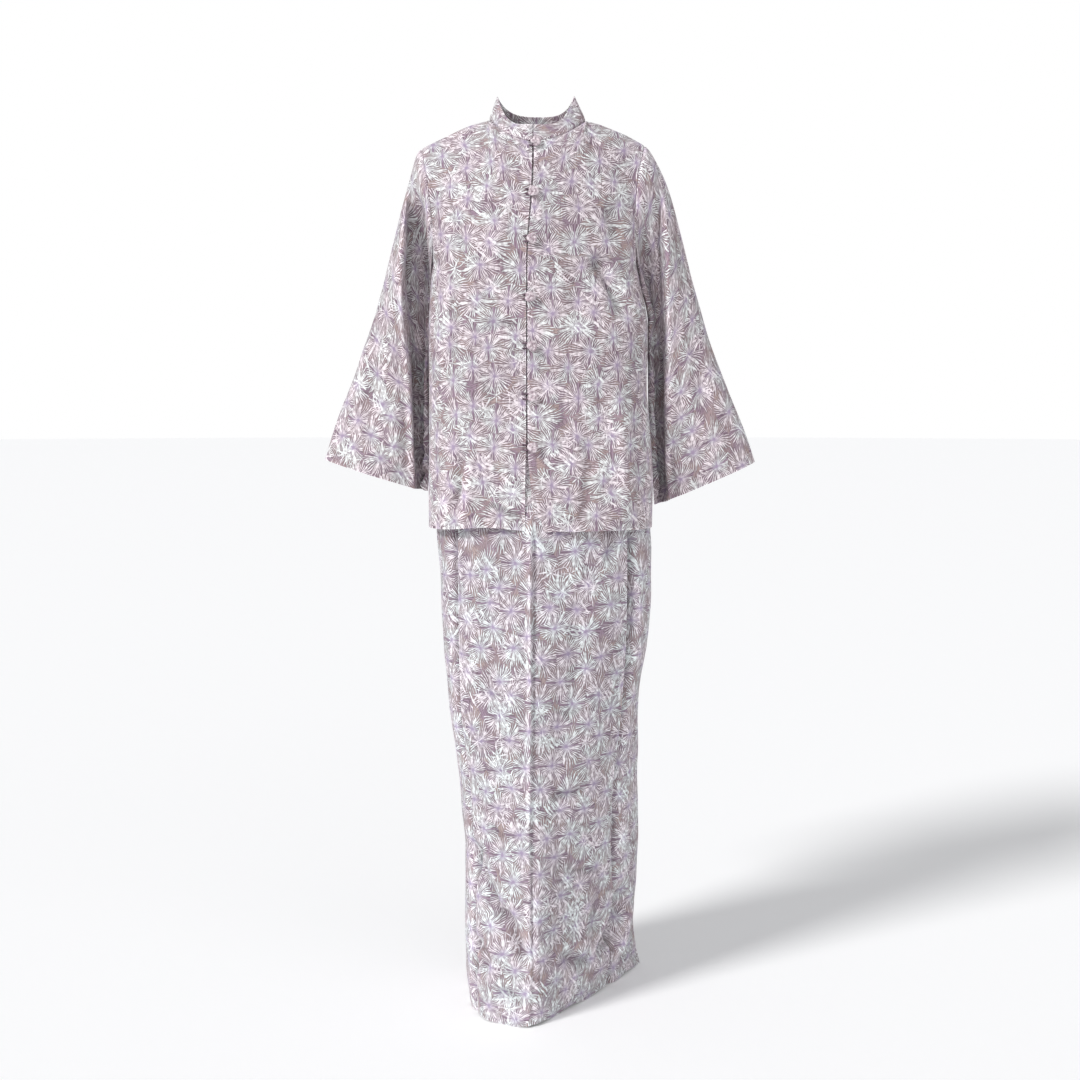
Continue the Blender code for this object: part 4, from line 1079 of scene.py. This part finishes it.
def skirt_size(z):
    """The skirt's table read at one height."""
    return {name: smooth(z, skirt_table["z"], column) for name, column in skirt_table.items()}


def skirt_corners(size):
    """The four rounded corners of one level of the skirt."""
    left, right = (size["left"], size["left_y"]), (size["right"], size["right_y"])
    crease, back_point = (size["crease"], size["front"]), (0.02, size["back"])
    return ((crease, left, size["round_left"]), (back_point, left, 2.2),
            (back_point, right, 2.2), (crease, right, size["round_right"]))


def edge_place(corner, edge_x):
    """Share of a front quarter at which it reaches edge_x, and the quarter's length."""
    start, end, power = corner
    shares = np.linspace(0, 1, 241)
    x, y = quarter(start, end, power, shares)
    order = np.argsort(x)
    return np.interp(edge_x, x[order], shares[order]), np.hypot(np.diff(x), np.diff(y)).sum()


def skirt_cloth(part, columns, seed):
    """One skirt panel from the hem to the waist: front, left, right or back."""
    heights = floor_z + (waist_z - floor_z) * np.linspace(0, 1, 260) ** 1.05
    shares = np.linspace(-1, 1, columns) if part == "front" else np.linspace(0, 1, columns)
    points = np.zeros((len(heights), columns, 3))
    inset = np.zeros(points.shape[:2])
    for row, z in enumerate(heights):
        corners = skirt_corners(skirt_size(z))
        left_x, right_x = [smooth(z, panel_edges["z"], panel_edges[name]) for name in ("left", "right")]
        left, left_length = edge_place(corners[0], left_x)
        right, right_length = edge_place(corners[3], right_x)
        if part == "front":
            place = np.where(shares < 0, shares * right, shares * left)
        elif part == "back":
            start = side_seam + 0.0003 / left_length
            place = start + (4 - 2 * start) * shares
        else:
            edge, length = (left, left_length) if part == "left" else (right, right_length)
            under = edge - panel_fold / length
            place = under + (side_seam - under) * shares
            beyond = (place - edge) * length
            inset[row] = behind_panel * (1 - ease((beyond - fold_place) / 0.030))
            inset[row] += fold_depth * np.exp(-((beyond - fold_place) / 0.009) ** 2)
            place = place if part == "left" else -place
        x, y = outline(place, corners)
        points[row] = np.stack((x, y, np.full_like(x, z)), axis=-1)
    calm = ease((1 - np.abs(shares)) / 0.3) if part == "front" else ease(shares * (1 - shares) * 12)
    free = {"front": 1 + 0 * shares, "back": calm}.get(part, ease((1 - shares) * 12))
    if part == "right":
        points, inset, free, calm = points[:, ::-1], inset[:, ::-1], free[::-1], calm[::-1]
    slack = ease((waist_z - heights) / 0.2)[:, None]
    if part == "front":
        points = creased(points, -1, pressed_crease, free, pressed=True)
    points = creased(points, -1, skirt_creases, free)
    points = creased(points, 1, skirt_back_creases, free)
    points = uneven(points, 0.0022, seed, calm * slack)
    points = points - outward(points) * inset[..., None]
    lift = 0.0022 * (1 + np.sin(points[:1, :, 0] * 63 + points[:1, :, 1] * 41 + 1.0))
    points[:, :, 2] = heights[:, None] + lift * np.exp((floor_z - heights) / 0.03)[:, None]
    seams = {"front": (), "left": ("last",), "right": ("first",), "back": ("first", "last")}[part]
    return finished(points, 0.022, seams, ("first", "last") if part == "front" else (), panel_fold)


# The skirt's copy of the print is painted a little lighter and cooler than the blouse's: painted light.
printed_cloth("batik_skirt_painted_light", 0.0, strength=(1.00, 1.03, 1.04))
for name, node, part, columns, seed, flat, area, origin in (
        ("skirt_front_cloth", "skirt_front_panel", "front", 131, 0.4, (0.36, 1.06), 0.340, (0.017, 7.4)),
        ("skirt_left_cloth", "skirt_side_left", "left", 48, 1.9, (0.23, 1.06), 0.210, (0.043, 8.7)),
        ("skirt_right_cloth", "skirt_side_right", "right", 48, 3.3, (0.28, 1.06), 0.235, (0.029, 10.2)),
        ("skirt_back_cloth", "skirt_back", "back", 66, 5.2, (0.32, 1.06), 0.300, (0.005, 11.6))):
    sewn(name, skirt_cloth(part, columns, seed), node,
         origin=origin, materials=("batik_skirt_painted_light", "batik_reverse"))


# Waistband. A straight folded band at the top of the skirt, out of sight under the blouse.
waist_places = np.linspace(0, 4, 161)
waist_x, waist_y = outline(waist_places, skirt_corners(skirt_size(waist_z)))
low = np.stack((waist_x, waist_y, np.full_like(waist_x, waist_z + 0.0003)), axis=-1)
band = np.array([low + np.array((0, 0, up)) for up in np.linspace(0, band_height, 7)])
band[:, -1] = band[:, 0]
sewn("waistband_cloth", band, "skirt_waistband",
     closed=True, origin=(0.0, 13.1))
